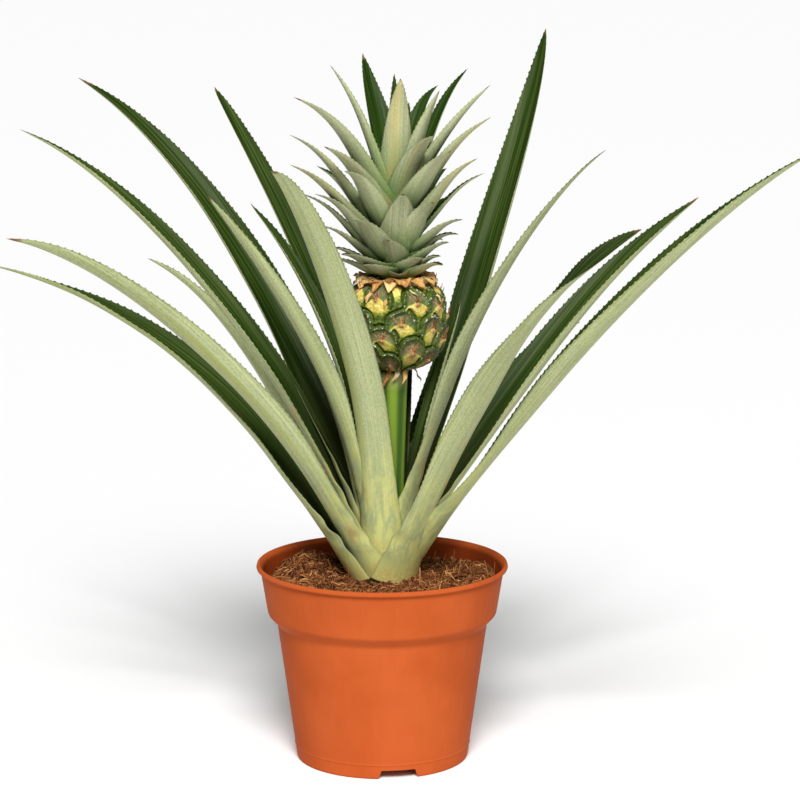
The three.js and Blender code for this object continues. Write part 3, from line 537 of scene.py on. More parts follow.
class Finish:
    """A material that is built node by node."""

    def __init__(self, name):
        self.material = bpy.data.materials.new(name)
        self.material.use_nodes = True
        self.tree = self.material.node_tree
        self.tree.nodes.clear()

    def node(self, kind, settings=None, sockets=None, out=0):
        """Adds a node: its settings first, then the value or link of each socket."""
        node = self.tree.nodes.new(kind)
        for key, value in (settings or {}).items():
            if key == "stops":
                while len(node.color_ramp.elements) < len(value):
                    node.color_ramp.elements.new(0.5)
                for element, (position, colour) in zip(node.color_ramp.elements, value):
                    element.position, element.color = position, colour
            else:
                setattr(node, key, value)
        for key, value in (sockets or {}).items():
            if isinstance(value, Value):
                self.tree.links.new(value.socket, node.inputs[key])
            else:
                node.inputs[key].default_value = value
        return Value(self, node.outputs[out]) if len(node.outputs) else None

    def attribute(self, name):
        """The three numbers of a piece's own attribute, and the attribute as a vector."""
        vector = self.node("ShaderNodeAttribute", {"attribute_name": name}, out=1)
        split = self.node("ShaderNodeSeparateXYZ", sockets={0: vector})
        return [Value(self, split.socket.node.outputs[k]) for k in range(3)] + [vector]

    def placed(self):
        """Object coordinates in metres."""
        return self.node("ShaderNodeTexCoord", out=3)

    def scaled(self, vector, scale):
        """A vector stretched by a scale along each axis."""
        return self.node("ShaderNodeVectorMath", {"operation": "MULTIPLY"}, {0: vector, 1: scale})

    def noise(self, vector, scale, detail, roughness=0.55):
        """Cloudy relief from 0 to 1."""
        return self.node("ShaderNodeTexNoise", None, {"Vector": vector, "Scale": scale,
                                                      "Detail": detail, "Roughness": roughness})

    def mix(self, factor, a, b):
        """Colour a where the factor is 0 and b where it is 1."""
        return self.node("ShaderNodeMix", {"data_type": "RGBA"}, {0: factor, 6: a, 7: b}, out=2)

    def layered(self, colour, *layers):
        """The colour under layers, each a factor and a colour, the last one on top."""
        for factor, layer in layers:
            colour = self.mix(factor, colour, layer)
        return colour

    def ramp(self, place, *stops):
        """The colour at a place from 0 to 1 along the stops, each a position and a colour."""
        return self.node("ShaderNodeValToRGB", {"stops": stops}, {0: place.clamped()})

    def surface(self, colour, roughness, specular, relief=None, **more):
        """Closes the material with one Principled shader. Relief is a height, its depth in
        metres and its strength, and more sockets are named with _."""
        named = {key.replace("_", " "): value for key, value in more.items()}
        if relief:
            named["Normal"] = self.node("ShaderNodeBump", None, dict(zip(
                ("Height", "Distance", "Strength"), relief)))
        named |= {"Base Color": colour, "Roughness": roughness, "Specular IOR Level": specular}
        shader = self.node("ShaderNodeBsdfPrincipled", None, named)
        self.node("ShaderNodeOutputMaterial", None, {0: shader})
        return self.material


def leaf_finish(name, pale, pale_root, deep, streak, yellow, root_reach):
    """A waxy pineapple blade. Its lower face is pale under a mottled grey bloom and its upper
    face is deep green with grey lengthwise veins, with painted shade that darkens it nearly
    to black towards the root. The root is patched with yellow-green and a little rust, and
    the margin is a darker line."""
    f = Finish(name)
    *_, place = f.attribute("place")
    across, along, upper, _ = f.attribute("spot")
    tone, yellowing, dryness, _ = f.attribute("hue")
    veins = f.noise(f.scaled(place, (1.6, 0.012, 1.0)), 1.0, 4.0, 0.6)
    bands = f.noise(f.scaled(place, (0.22, 0.006, 1.0)), 1.0, 2.0)
    scurf = f.noise(f.scaled(place, (1.1, 0.5, 1.0)), 1.6, 4.0, 0.7)
    clouds = f.noise(f.scaled(place, (0.08, 0.03, 1.0)), 1.0, 3.0)
    bloom = f.noise(f.scaled(place, (0.13, 0.045, 1.0)), 1.3, 4.0, 0.7)

    patch = (bands.between(0.5, 0.68) * yellowing).clamped()
    under = f.layered(f.mix(clouds, pale[0], pale[1]),
                      ((veins * 0.5 + scurf * 0.5).between(0.36, 0.62), pale[2]),
                      (patch * 0.75, yellow),
                      (bloom.between(0.5, 0.75) * 0.35, srgb(150, 162, 128)))
    over = f.layered(deep, (veins.between(0.42, 0.7) * 0.75, streak),
                     (bands.between(0.45, 0.7) * 0.35, streak))
    colour = f.mix(upper.between(0.35, 0.65), under, over)
    low = along.between(root_reach, 0.02)
    grey = (bloom * 0.8 + scurf * 0.2).between(0.43, 0.56) * along.between(0.01, 0.08)
    rust = clouds.between(0.6, 0.7) * bloom.between(0.4, 0.6) * (1 - upper)
    foot = along.between(0.05, 0.015) * scurf.between(0.35, 0.65) * (1 - upper)
    margin = abs(across).between(0.93, 0.995)
    dry = (along + dryness * 0.03).between(0.975, 1.0)
    colour = f.layered(colour, (low * (0.85 - 0.7 * upper), f.mix(grey, *pale_root)),
                       (rust * along.between(0.42, 0.2) * 0.8, srgb(206, 158, 94)),
                       (foot * 0.6, srgb(178, 138, 84)),
                       # painted shade: upper faces turn near black towards the root, where the
                       # leaves shade each other
                       (upper * along.between(0.45, 0.1) * 0.8, srgb(10, 20, 4)),
                       (margin * (0.36 - 0.2 * low), srgb(62, 78, 34)),
                       (dry, srgb(122, 92, 58)))
    shade = f.node("ShaderNodeHueSaturation", None,
                   {"Saturation": 1.0, "Value": 0.86 + tone * 0.26, "Color": colour})
    return f.surface(shade, 0.52 - upper * 0.14 + scurf * 0.12, 0.08,
                     (veins * 0.6 + scurf * 0.4, 0.00022, 0.55))


LEAF = leaf_finish("leaf blade",
                   (srgb(131, 143, 91), srgb(157, 164, 111), srgb(186, 192, 147)),
                   (srgb(208, 206, 122), srgb(164, 172, 122)), srgb(30, 52, 6), srgb(84, 98, 48),
                   srgb(160, 168, 66), 0.3)
CROWN = leaf_finish("crown blade",
                    (srgb(140, 151, 110), srgb(168, 173, 132), srgb(199, 201, 158)),
                    (srgb(66, 120, 20), srgb(92, 124, 48)), srgb(26, 46, 6), srgb(62, 86, 36),
                    srgb(206, 184, 112), 0.72)


def pot_finish():
    """Satin plastic: an even terracotta with a faint cloudiness and fine upright flow marks,
    and painted shade that darkens the inside of the collar below the rim."""
    f = Finish("pot plastic")
    where = f.placed()
    clouds = f.noise(where, 28.0, 3.0)
    flow = f.noise(f.scaled(where, (320.0, 320.0, 14.0)), 1.0, 2.0)
    grain = f.noise(where, 2600.0, 2.0)
    x, y, z = [f.node("ShaderNodeSeparateXYZ", sockets={0: where}, out=k) * 1000 for k in range(3)]
    slope = (COLLAR_TOP_RADIUS - COLLAR_FOOT_RADIUS) / (LIP_FOOT - COLLAR_FOOT)
    wall = z * slope + (COLLAR_TOP_RADIUS - WALL / 2 - slope * LIP_FOOT)
    inner = (wall - (x * x + y * y) ** 0.5).between(-0.3, 0.3)
    inner = inner * z.between(COLLAR_FOOT, COLLAR_FOOT + 2)
    # painted shade: the inside of the collar is darkened from just below the rim down
    painted_inner_shade = inner * z.between(RIM_HEIGHT - 0.6, RIM_HEIGHT - 3.0)
    colour = f.layered(srgb(174, 79, 36), (clouds.between(0.3, 0.7), srgb(184, 87, 42)),
                       (flow.between(0.4, 0.8) * 0.12, srgb(200, 98, 50)),
                       (painted_inner_shade * 0.7, srgb(104, 38, 12)))
    return f.surface(colour, 0.46 + 0.1 * clouds + 0.06 * grain, 0.02,
                     (flow * 0.5 + grain * 0.5, 0.00004, 0.6))


def soil_finish():
    """Damp coir: brown crumbs from dark to straw."""
    f = Finish("coir crumb")
    where = f.placed()
    crumbs = f.noise(where, 420.0, 5.0, 0.7)
    patches = f.noise(where, 60.0, 3.0)
    colour = f.layered(srgb(34, 18, 9), (crumbs.between(0.35, 0.6), srgb(92, 52, 26)),
                       ((crumbs * patches).between(0.3, 0.42), srgb(154, 96, 50)))
    return f.surface(colour, 0.92, 0.2, (crumbs, 0.0012, 1.0))


def fibre_finish(name):
    """Dry strands: each has its own tone, from dark brown to pale straw."""
    f = Finish(name)
    tone, *_ = f.attribute("hue")
    grain = f.noise(f.placed(), 1500.0, 2.0)
    colour = f.ramp(tone + grain * 0.25 - 0.12, (0.0, srgb(48, 25, 12)),
                    (0.35, srgb(100, 56, 26)), (0.7, srgb(154, 92, 46)),
                    (1.0, srgb(206, 150, 92)))
    return f.surface(colour, 0.8, 0.25)


def fruit_finish():
    """The rind: glossy deep green rims with painted highlight specks, grey-green scales in the
    hollows, a cream and yellow foot, dry brown keels and painted shade in the grooves, all of
    which the piece's own masks place."""
    f = Finish("fruit rind")
    rim, yellow, brown, _ = f.attribute("marks")
    grey, painted_groove_shade, *_ = f.attribute("more")
    where = f.placed()
    speck = f.noise(where, 700.0, 4.0, 0.65)
    fine = f.noise(where, 2200.0, 3.0, 0.7)
    coarse, small = speck.between(0.3, 0.7), fine.between(0.3, 0.7)
    gold = f.mix(coarse, srgb(206, 178, 50), srgb(238, 222, 140))
    # painted highlight: near-white specks on the rims stand in for wet glints
    painted_glints = f.noise(where, 640.0, 2.0).between(0.6, 0.68)
    colour = f.layered(
        f.mix(speck.between(0.35, 0.65), srgb(46, 66, 8), srgb(98, 114, 24)),
        (rim * 0.75, f.mix(coarse, srgb(18, 36, 3), srgb(52, 82, 9))),
        (grey * (0.7 + 0.5 * speck), f.mix(small, srgb(56, 64, 32), srgb(130, 134, 92))),
        (yellow.between(0.0, 0.45), f.mix(yellow.between(0.25, 0.8), srgb(148, 156, 40), gold)),
        (brown * (0.55 + speck * 0.7), f.mix(small, srgb(104, 58, 36), srgb(202, 150, 104))),
        # painted shade in the grooves between the eyes, then painted highlight specks on the rims
        (painted_groove_shade * 0.85, srgb(14, 20, 4)), (painted_glints * rim * 0.75, srgb(214, 220, 198)))
    rough = (0.5 - rim * 0.32 + grey * 0.15 + brown * 0.3 + painted_groove_shade * 0.4).clamped()
    return f.surface(colour, rough, 0.35, (speck, 0.0007, 0.7),
                     Coat_Weight=(rim * 0.8).clamped(), Coat_Roughness=0.08)


def bract_finish():
    """Dry papery bracts: straw and rust, darker at the edges."""
    f = Finish("dry bract")
    across, along, _, _ = f.attribute("spot")
    tone, *_ = f.attribute("hue")
    *_, place = f.attribute("place")
    veins = f.noise(f.scaled(place, (2.2, 0.25, 1.0)), 1.0, 4.0, 0.65)
    colour = f.ramp(veins * 1.4 + tone * 0.8 - 0.5, (0.0, srgb(104, 62, 30)),
                    (0.25, srgb(186, 130, 68)), (0.6, srgb(226, 184, 112)),
                    (1.0, srgb(244, 224, 170)))
    colour = f.layered(colour, (abs(across).between(0.8, 1.0) * 0.4, srgb(110, 62, 30)),
                       (along.between(0.8, 1.0) * 0.4, srgb(96, 60, 36)))
    return f.surface(colour, 0.75, 0.25, (veins, 0.0004, 0.8))


def stalk_finish(name, deep, light):
    """Smooth green tissue, lighter on its ribs and yellower and paler at its top."""
    f = Finish(name)
    rib, height, _, _ = f.attribute("hue")
    where = f.placed()
    streaks = f.noise(f.scaled(where, (520.0, 520.0, 16.0)), 1.0, 3.0)
    colour = f.layered(deep, ((rib * 0.6 + streaks * 0.6).between(0.25, 0.85), light),
                       (height.between(0.86, 1.0) * streaks * 1.4, srgb(206, 204, 130)))
    return f.surface(colour, 0.42 + streaks * 0.12, 0.3, (streaks, 0.0002, 0.4))


# The pot: one turned wall, notched at the foot, with drain holes through its floor

def pot_inner_radius(z):
    """Radius of the pot's inner wall at a height, on its three straight runs."""
    radii = [FOOT_RADIUS, BODY_TOP_RADIUS, COLLAR_FOOT_RADIUS, COLLAR_TOP_RADIUS]
    return np.interp(z, [0, CHAMFER_FOOT, COLLAR_FOOT, LIP_FOOT], radii) - WALL


def make_pot():
    """The turned wall from the floor's underside over the rim to the floor's upper face, with
    a bead above the foot, then the notches and the drain holes cut out of it."""
    taper = (BODY_TOP_RADIUS - FOOT_RADIUS) / CHAMFER_FOOT
    floor_top = FLOOR_UNDERSIDE + WALL
    inner_foot = FOOT_RADIUS - FOOT_RING_WIDTH
    bead = [[FOOT_RADIUS + taper * (BEAD_HEIGHT + rise) + out, BEAD_HEIGHT + rise]
            for rise, out in ((-0.6, 0), (0, 0.3), (0.6, 0))]
    inside = [[pot_inner_radius(z), z] for z in (LIP_FOOT, COLLAR_FOOT, CHAMFER_FOOT, floor_top)]
    profile = rounded([
        [0.02, FLOOR_UNDERSIDE], [inner_foot, FLOOR_UNDERSIDE], [inner_foot, 0],
        [FOOT_RADIUS, 0], *bead, [BODY_TOP_RADIUS, CHAMFER_FOOT],
        [COLLAR_FOOT_RADIUS, COLLAR_FOOT], [COLLAR_TOP_RADIUS, LIP_FOOT],
        [RIM_RADIUS - 0.3, LIP_FOOT + 0.2], [RIM_RADIUS, LIP_FOOT + 0.8],
        [RIM_RADIUS - 0.4, RIM_HEIGHT], [RIM_RADIUS - 1.5, RIM_HEIGHT],
        *inside, [0.02, floor_top]], radius=1.1)
    shape = Shape()
    turned(shape, profile, POT_SIDES)
    pot = shape.piece("nursery_pot", pot_finish(), "pot_plastic", ["pot"])
    for angle in NOTCH_ANGLES:
        turn = math.radians(angle)
        out, aside = polar(1, turn, 0), polar(1, turn + np.pi / 2, 0)
        half = NOTCH_WIDTH / 2
        section = [(-half, -1), (half, -1), (half - 2, NOTCH_HEIGHT), (-half + 2, NOTCH_HEIGHT)]
        ends = [[out * reach + aside * x + UP * z for x, z in section]
                for reach in (FOOT_RADIUS - 7, FOOT_RADIUS + 5)]
        wedge = Shape()
        wedge.add(np.array(ends), [[0, 3, 2, 1], [4, 5, 6, 7], [0, 1, 5, 4], [1, 2, 6, 5],
                                   [2, 3, 7, 6], [3, 0, 4, 7]])
        cut(pot, wedge)
        drain = Shape()
        turned(drain, [[DRAIN_RADIUS, 1], [DRAIN_RADIUS, 9]], DRAIN_SIDES,
               out[:2] * DRAIN_CIRCLE)
        cut(pot, drain)
    pot.data.set_sharp_from_angle(angle=math.radians(40))


def cut(piece, shape):
    """Takes a closed shape away from a piece, for good."""
    points = np.concatenate(shape.points) * MM
    faces = [list(face) for rows in shape.quads + shape.tris for face in rows.tolist()]
    mesh = bpy.data.meshes.new("cutter")
    mesh.from_pydata(points, [], faces)
    tool = add_object("cutter", mesh)
    boolean = piece.modifiers.new("cut", "BOOLEAN")
    boolean.operation, boolean.object, boolean.solver = "DIFFERENCE", tool, "EXACT"
    graph = bpy.context.evaluated_depsgraph_get()
    result = bpy.data.meshes.new_from_object(piece.evaluated_get(graph))
    piece.modifiers.clear()
    old, piece.data = piece.data, result
    result.name = piece.name
    bpy.data.meshes.remove(old)
    bpy.data.objects.remove(tool)
    bpy.data.meshes.remove(mesh)


# The coir soil and its loose strands

def soil_height(angle, radius):
    """Level of the soil: round mounds and small lumps that fade out towards the stem, a low
    collar round it, crumbs that are lower near it, and clods that fade out at the wall."""
    x, y = radius * np.cos(angle), radius * np.sin(angle)
    mounds = 0
    for direction, distance, height, spread in MOUNDS:
        top = polar(distance, math.radians(direction), 0)
        mounds = mounds + height * np.exp(-((x - top[0]) ** 2 + (y - top[1]) ** 2) / spread ** 2)
    lumps = 0.5 * np.sin(7 * angle + radius * 0.3) + 0.4 * np.sin(11 * angle - radius * 0.5)
    crumbs = sum(rolling(x, y, size, seed) * height for size, seed, height in CRUMBS)
    away = np.hypot(x - PLANT[0] + LEAN, y - PLANT[1]) - STEM_RADIUS
    fade = np.clip(away / 12, 0, 1)
    collar = 2.4 * (1 - smoothstep(away, 3, 14))
    clods = np.maximum(0, rolling(x, y, 5.5, 21)) * 2.2 + np.maximum(0, rolling(x, y, 2.6, 22))
    crumbs = crumbs + clods * np.clip((53 - radius) / 6, 0, 1)
    return SOIL_LEVEL + collar + (lumps + mounds) * fade + crumbs * np.clip(0.4 + fade * 2, 0, 1)


def make_soil():
    """Rings from the foot of the soil up the pot's wall, over the soil to the stem, whose
    centre stands off the pot's, and down along the stem."""
    sides, rings = 320, 90
    clearance = GAP + 0.15
    angle = around(sides)
    foot, pit = FLOOR_UNDERSIDE + WALL + GAP, STEM_FOOT - GAP
    centre = PLANT[:2] - [LEAN, 0]
    inner = polar(STEM_RADIUS + GAP, angle, pit) + [*centre, 0]
    outer = polar(pot_inner_radius(SOIL_LEVEL) - clearance, angle, 0)
    part = np.linspace(1, 0, rings)[:, None]
    x, y = [lerp(inner[:, axis], outer[:, axis], part) for axis in (0, 1)]
    walls = [polar(pot_inner_radius(z) - clearance, angle, z)
             for z in (foot, CHAMFER_FOOT, COLLAR_FOOT)]
    points = np.concatenate([walls, joined(x, y, soil_height(np.arctan2(y, x), np.hypot(x, y))),
                             inner[None]])
    shape = Shape()
    shape.add(points, grid_quads(len(points), sides))
    shape.close(len(points), sides, [[0, 0, foot], [*centre, pit]])
    shape.piece("coir_soil", soil_finish(), "coir_soil", ["soil"])


def make_fibres():
    """Strands laid on the soil: each is a gently curved path that rises and falls in an arch
    over its length. A few stand up, most of them in one tuft."""
    count, steps = STRANDS, 5
    radius = np.sqrt(rng.uniform(STRAND_RING[0] ** 2, STRAND_RING[1] ** 2, count))
    start = polar(radius, rng.uniform(0, 2 * np.pi, count), 0)
    heading = rng.uniform(0, 2 * np.pi, count)
    bend = rng.normal(0, 0.9, count)
    length = (rng.gamma(3.0, 2.4, count) + 2.5)[:, None]
    s = np.linspace(0, 1, steps)[None, :]
    turn = heading[:, None] + bend[:, None] * (s - 0.5)
    stride = length / (steps - 1)
    x, y = [start[:, axis:axis + 1] + np.cumsum(part * stride, axis=1) - length / 2 * part
            for axis, part in enumerate((np.cos(turn), np.sin(turn)))]
    squeeze = np.minimum(1, STRAND_REACH / np.hypot(x, y))
    x, y = x * squeeze, y * squeeze
    lift = rng.gamma(1.6, 0.45, count)[:, None]
    level = soil_height(np.arctan2(y, x), np.hypot(x, y))
    z = level - 0.2 + lift * np.sin(np.pi * s) * np.minimum(1, length / 8)
    z = z + rng.uniform(-0.3, 1.1, count)[:, None] * (s - 0.3)
    standing = (rng.uniform(0, 1, count) < STRANDS_STANDING)[:, None]
    standing[:TUFT] = True
    start[:TUFT, :2] = [[TUFT_PLACE[0] + 0.8 * k, TUFT_PLACE[1] + 1.5 * (k % 3)]
                        for k in range(TUFT)]
    z = np.where(standing, level - 0.5 + s * rng.uniform(4, 11, count)[:, None], z)
    lean = s * rng.uniform(-1, 1, (count, 1)) * 3
    x = np.where(standing, start[:, :1] + lean, x)
    y = np.where(standing, start[:, 1:2] + lean * 0.6, y)
    z = np.minimum(z, RIM_HEIGHT + 4)
    away = np.hypot(x - PLANT[0] + LEAN, y - PLANT[1]).min(axis=1)
    keep = (away > STEM_RADIUS + 0.5) & (np.hypot(x, y).max(axis=1) < STRAND_REACH + 0.3)
    thick = rng.gamma(3.0, 0.055, count)[:, None] + 0.11
    radii = thick * (1 - 0.6 * np.abs(2 * s - 1) ** 2)
    tone = np.clip(rng.beta(2.2, 2.2, count) + (thick[:, 0] - 0.2) * 0.5, 0, 1)
    points, quads, tris = tubes(joined(x, y, z)[keep], radii[keep], 3)
    shape = Shape()
    shape.add(points, quads, tris, hue=np.repeat(tone[keep], steps * 3)[:, None])
    shape.piece("coir_strands", fibre_finish("coir strand"), "coir_soil")


# The plant

def stem_radius(z):
    """Radius of the stem, which narrows above the soil."""
    return lerp(STEM_RADIUS, STEM_TOP_RADIUS,
                np.clip((z - SOIL_LEVEL) / (STEM_TOP - SOIL_LEVEL), 0, 1))


def make_stem():
    """A round core that narrows above the soil."""
    profile = rounded([[0.02, STEM_FOOT], [STEM_RADIUS - 2, STEM_FOOT],
                       [STEM_RADIUS, STEM_FOOT + 2], [STEM_RADIUS, SOIL_LEVEL],
                       [STEM_TOP_RADIUS, STEM_TOP], [0.02, STEM_TOP]], radius=1.0)
    shape = Shape()
    turned(shape, profile, STEM_SIDES, hue=0.3)
    shape.piece("stem_core", stalk_finish("stem tissue", srgb(150, 158, 84), srgb(196, 200, 128)),
                "stem_tissue", ["stem"], PLANT, True)


def make_stalk():
    """Radius is the stalk's, swelling by 8% to its top, with five ribs of 3.5%. Its axis runs
    straight from the leaning stem to a little left of the fruit's axis."""
    foot, top = STEM_TOP + GAP, FRUIT_FOOT - GAP
    sides, levels = 96, 40
    part = np.linspace(0, 1, levels)[:, None]
    angle = around(sides)
    rib = np.cos(STALK_RIBS * angle + 0.9)
    radius = STALK_RADIUS * (1 + 0.08 * part ** 2) * (1 + 0.035 * rib - 0.006)
    points = polar(radius, angle, lerp(foot, top, part))
    points[..., 0] -= lerp(lean_at(foot), STALK_OFFSET, part)
    shape = Shape()
    shape.add(points, grid_quads(levels, sides),
              hue=joined(0.5 + 0.5 * rib, part, 0.0).reshape(-1, 3))
    shape.close(levels, sides, [[-lean_at(foot), 0, foot], [-STALK_OFFSET, 0, top]], hue=0.5)
    shape.piece("flower_stalk", stalk_finish("stalk skin", srgb(52, 88, 12),
                                             srgb(120, 148, 44)), "stalk_green", ["stalk"], PLANT)


def make_long_leaves():
    """The listed leaves, each rooted a step higher on the stem than the one before."""
    for index, row in enumerate(LONG_LEAVES):
        angle, *steer, width, flare, waist, fullness, rolls, yellowing = row
        standoff = STANDOFFS[index] if index < len(STANDOFFS) else 0
        root = FIRST_ROOT + ROOT_STEP * index
        root_radius = stem_radius(root) + GAP + 0.6 + standoff
        points = [[root_radius, root], steer[:2], steer[2:4], steer[4:]]
        shape = Shape()
        tint = [0.25 + 0.5 * ((index * 0.618) % 1), yellowing, (index * 0.37) % 1]
        blade(shape, points, angle, width, root_radius, 10 * width / 26, fullness, flare, tint,
              waist=waist, rolls=rolls, wavy=0.8 if index < 4 else 0.4, **LONG_BLADE)
        node = f"leaf_{index + 1:02d}"
        shape.piece(f"long_{node}", LEAF, "leaf_green", [node], PLANT, True)


def crown_core_radius(z):
    """Radius of the crown's core, which narrows upwards."""
    return CROWN_CORE_RADIUS * (1 - 0.55 * (z - FRUIT_TOP) / CROWN_CORE_HEIGHT)


def crown_rows():
    """The leaves as listed, then the back ones, each 52.5 degrees on from the one before it
    within the 100 degrees behind."""
    rows = list(CROWN_LEAVES)
    for k in range(CROWN_BACK_LEAVES):
        part = k / (CROWN_BACK_LEAVES - 1)
        reach = 32 + 16 * math.sin(math.pi * min(1, part * 1.25)) - 14 * part
        rows.append([45 + ((k * 52.5) % 100), reach, lerp(246, 312, part ** 0.75),
                     lerp(236, 272, part), 14 + 2 * math.sin(2 * k), 8 - 5 * part, 2 - 4 * part])
    return rows


def make_crown():
    """The crown's core and its leaves, whose tone rises from the lowest ones up."""
    shape = Shape()
    foot, top = FRUIT_TOP + GAP, FRUIT_TOP + CROWN_CORE_HEIGHT
    profile = [[0.02, foot], [crown_core_radius(foot), foot], [crown_core_radius(top), top],
               [0.02, top + 3]]
    turned(shape, profile, CROWN_CORE_SIDES, place=0.0, spot=(0, 0.1, 0.5), hue=0.3)
    for index, (angle, reach, tip, root, width, droop, sag) in enumerate(crown_rows()):
        root_radius = crown_core_radius(root) - 0.9
        tint = [lerp(-0.5, 0.9, np.clip((root - 232) / 20, 0, 1)) + 0.3 * ((index * 0.618) % 1),
                CREAM.get(angle, 0.7 * ((index * 0.27) % 1)), (index * 0.37) % 1]
        blade(shape, arch(root_radius, root, reach, tip, sag, droop), angle, width,
              root_radius, width * 0.5, 1.7, 0.15, tint, **CROWN_BLADE)
    shape.piece("crown_leaves", CROWN, "crown_green", ["crown"], PLANT)


# The fruit: each place on the rind is told by its offset from the nearest eye on the spiral

def fruit_part(z):
    """How far up the fruit a height lies, from 0 at its foot to 1 at its top."""
    return (z - FRUIT_FOOT) / (FRUIT_TOP - FRUIT_FOOT)


def fruit_profile(part):
    """Radius from foot to top: a rounded barrel, R (1 - |2p - 1|^n)^(1 / 2.1), where n is
    FRUIT_BELLY in the lower half and FRUIT_SHOULDER in the upper one."""
    power = np.where(np.asarray(part) < 0.5, FRUIT_BELLY, FRUIT_SHOULDER)
    return FRUIT_RADIUS * np.maximum(0, 1 - np.abs(2 * part - 1) ** power) ** (1 / 2.1)


def eye_places(eyes):
    """Angle in radians and height of the numbered eyes' beaks."""
    turn = FRONT_EYE_ANGLE + EYE_TURN * (eyes - FRONT_EYE)
    rise = EYE_START + EYE_STEP * eyes
    for number, aside, up in EYE_SHIFTS:
        turn, rise = turn + aside * (eyes == number), rise + up * (eyes == number)
    return np.radians(turn), rise


def eye_offsets(angle, z):
    """Offset of each place from every eye on the spiral, in mm: u to the right, v upwards. The
    places are warped a little first, so that no two eyes are quite alike."""
    warp = [rolling(angle * FRUIT_RADIUS, z, 17, seed, 7) for seed in (41, 42)]
    eyes = np.arange(-18, 52)
    turn, rise = eye_places(eyes)
    rise = (z + 0.7 * warp[0])[..., None] - rise
    turn = angle[..., None] - turn
    u = np.arctan2(np.sin(turn), np.cos(turn)) * FRUIT_RADIUS * 0.94 + 0.7 * warp[1][..., None]
    return u, rise, eyes


def make_fruit():
    """Each eye has an arched hood over it, half an ellipse, and a bract foot below it
    that runs down between the hoods of the eyes underneath. A place belongs to the hood that it
    lies deepest in, or else to the nearest foot. The hood has a thick rim round a hollow, and a
    dry keel runs down the hollow to a beak at the eye's centre."""
    sides, levels = 460, 200
    part = (0.5 - 0.5 * np.cos(np.pi * np.linspace(0, 1, levels + 2)[1:-1]))[:, None]
    angle, z = np.broadcast_arrays(around(sides), lerp(FRUIT_FOOT, FRUIT_TOP, part))
    u, v, eyes = eye_offsets(angle, z)
    hood = np.hypot(u / HOOD_WIDTH, v / HOOD_HEIGHT)
    hooded = (hood < 1) & (v + 0.6 * np.abs(u) > 0)
    claim = np.where(hooded, 1 - hood ** 2, -0.02 - 0.036 * np.hypot(u, np.where(v > 0, 4, 1) * v))
    owner = claim.argmax(axis=-1)[..., None]
    others = np.where((v > -2) & (np.arange(len(eyes)) != owner), hood, 9.0).min(axis=-1)
    pick = lambda values: np.take_along_axis(values, owner, axis=-1)[..., 0]
    u, v, hood, eye = pick(u), pick(v), pick(hood), eyes[owner[..., 0]]
    chance = np.random.default_rng(7).uniform(0, 1, (3, 120))
    luck = [row[eye + 20] for row in chance]
    height = np.clip(fruit_part(z), 0, 1)
    theta = np.arctan2(v, u)
    grain = rolling(angle * FRUIT_RADIUS, z, 2.0, 12)

    lip = v + 0.6 * np.abs(u) - 1.0 + 0.3 * grain
    inside = pick(hooded) * smoothstep(lip, -0.6, 0.6)
    flat = np.where(pick(hooded), 1 - smoothstep(hood, 0.9, 1.0), 1.0)
    clear = np.where(pick(hooded), 1.0, smoothstep((others - 1) * 7.5, 0.0, 1.0))
    foot = (1 - inside) * clear
    rim = bell(hood - 0.84, 0.09) * smoothstep(lip, -0.5, 1.5)
    hollow = (1 - smoothstep(hood, 0.5, 0.78)) * smoothstep(lip, -0.2, 1.2)
    wobble = u + 0.35 * np.sin(v * 1.4 + luck[0] * 6)
    keel = bell(wobble, 0.55) * smoothstep(v, -2.2, -0.8) * (1 - smoothstep(v, 2.6, 4.4))
    beak = bell(np.hypot(u / 1.5, (v + 0.4) / 1.1), 1.0)
    seams = bell(np.abs(theta - np.pi / 2) - 0.75 - 0.2 * luck[1], 0.1) * hollow
    ridge = bell(u, 1.5) * (1 - inside) * (1 - smoothstep(-v, 2.5, 6.0))
    fade = np.where(v > 0, 1, 1 - 0.5 * smoothstep(-v, 0, 7.5))
    rise = 2.0 * flat * clear * fade - 1.5 + rim * (0.65 + 0.12 * np.sin(theta * 24 + luck[2] * 6))
    rise = rise - 0.9 * hollow + 0.55 * keel + 0.9 * beak + 0.3 * ridge - 0.25 * seams
    rise = rise + 0.1 * grain
    body = fruit_profile(part)
    radius = body + rise * np.minimum(1, body / (0.7 * FRUIT_RADIUS))

    ripe = np.clip(0.45 + 0.75 * height + 0.4 * (luck[0] - 0.5), 0, 1)
    yellow = foot * ripe * (1 - smoothstep(-v + 0.6 * grain, 3.5, 8.5)) * (
        1 - smoothstep(np.abs(u) - 0.25 * v + 0.7 * grain, 3.5, 8.0)) * (v < 3)
    scorch = bell(np.hypot(u, v), 4.2) * np.clip(1.3 - 2.4 * height + 0.7 * (luck[1] - 0.5), 0, 1)
    brown = np.clip(keel + beak + 0.8 * seams + 0.7 * scorch * (0.6 + 0.5 * grain), 0, 1)
    grey = np.clip(hollow * (1.15 - 0.5 * luck[2]), 0, 1)
    # painted shade: this mask marks the low parts between the eyes, which the finish paints nearly
    # black
    painted_groove_shade = 1 - smoothstep(rise, -1.5, -0.8)
    shape = Shape()
    shape.add(polar(radius, angle, z), grid_quads(levels, sides),
              marks=joined(rim, yellow, brown).reshape(-1, 3),
              more=joined(grey, painted_groove_shade, 0.0).reshape(-1, 3))
    shape.close(levels, sides, [[0, 0, FRUIT_FOOT], [0, 0, FRUIT_TOP]], marks=0.0, more=0.0)
    shape.piece("fruit_rind", fruit_finish(), "fruit_rind", ["fruit"], PLANT)


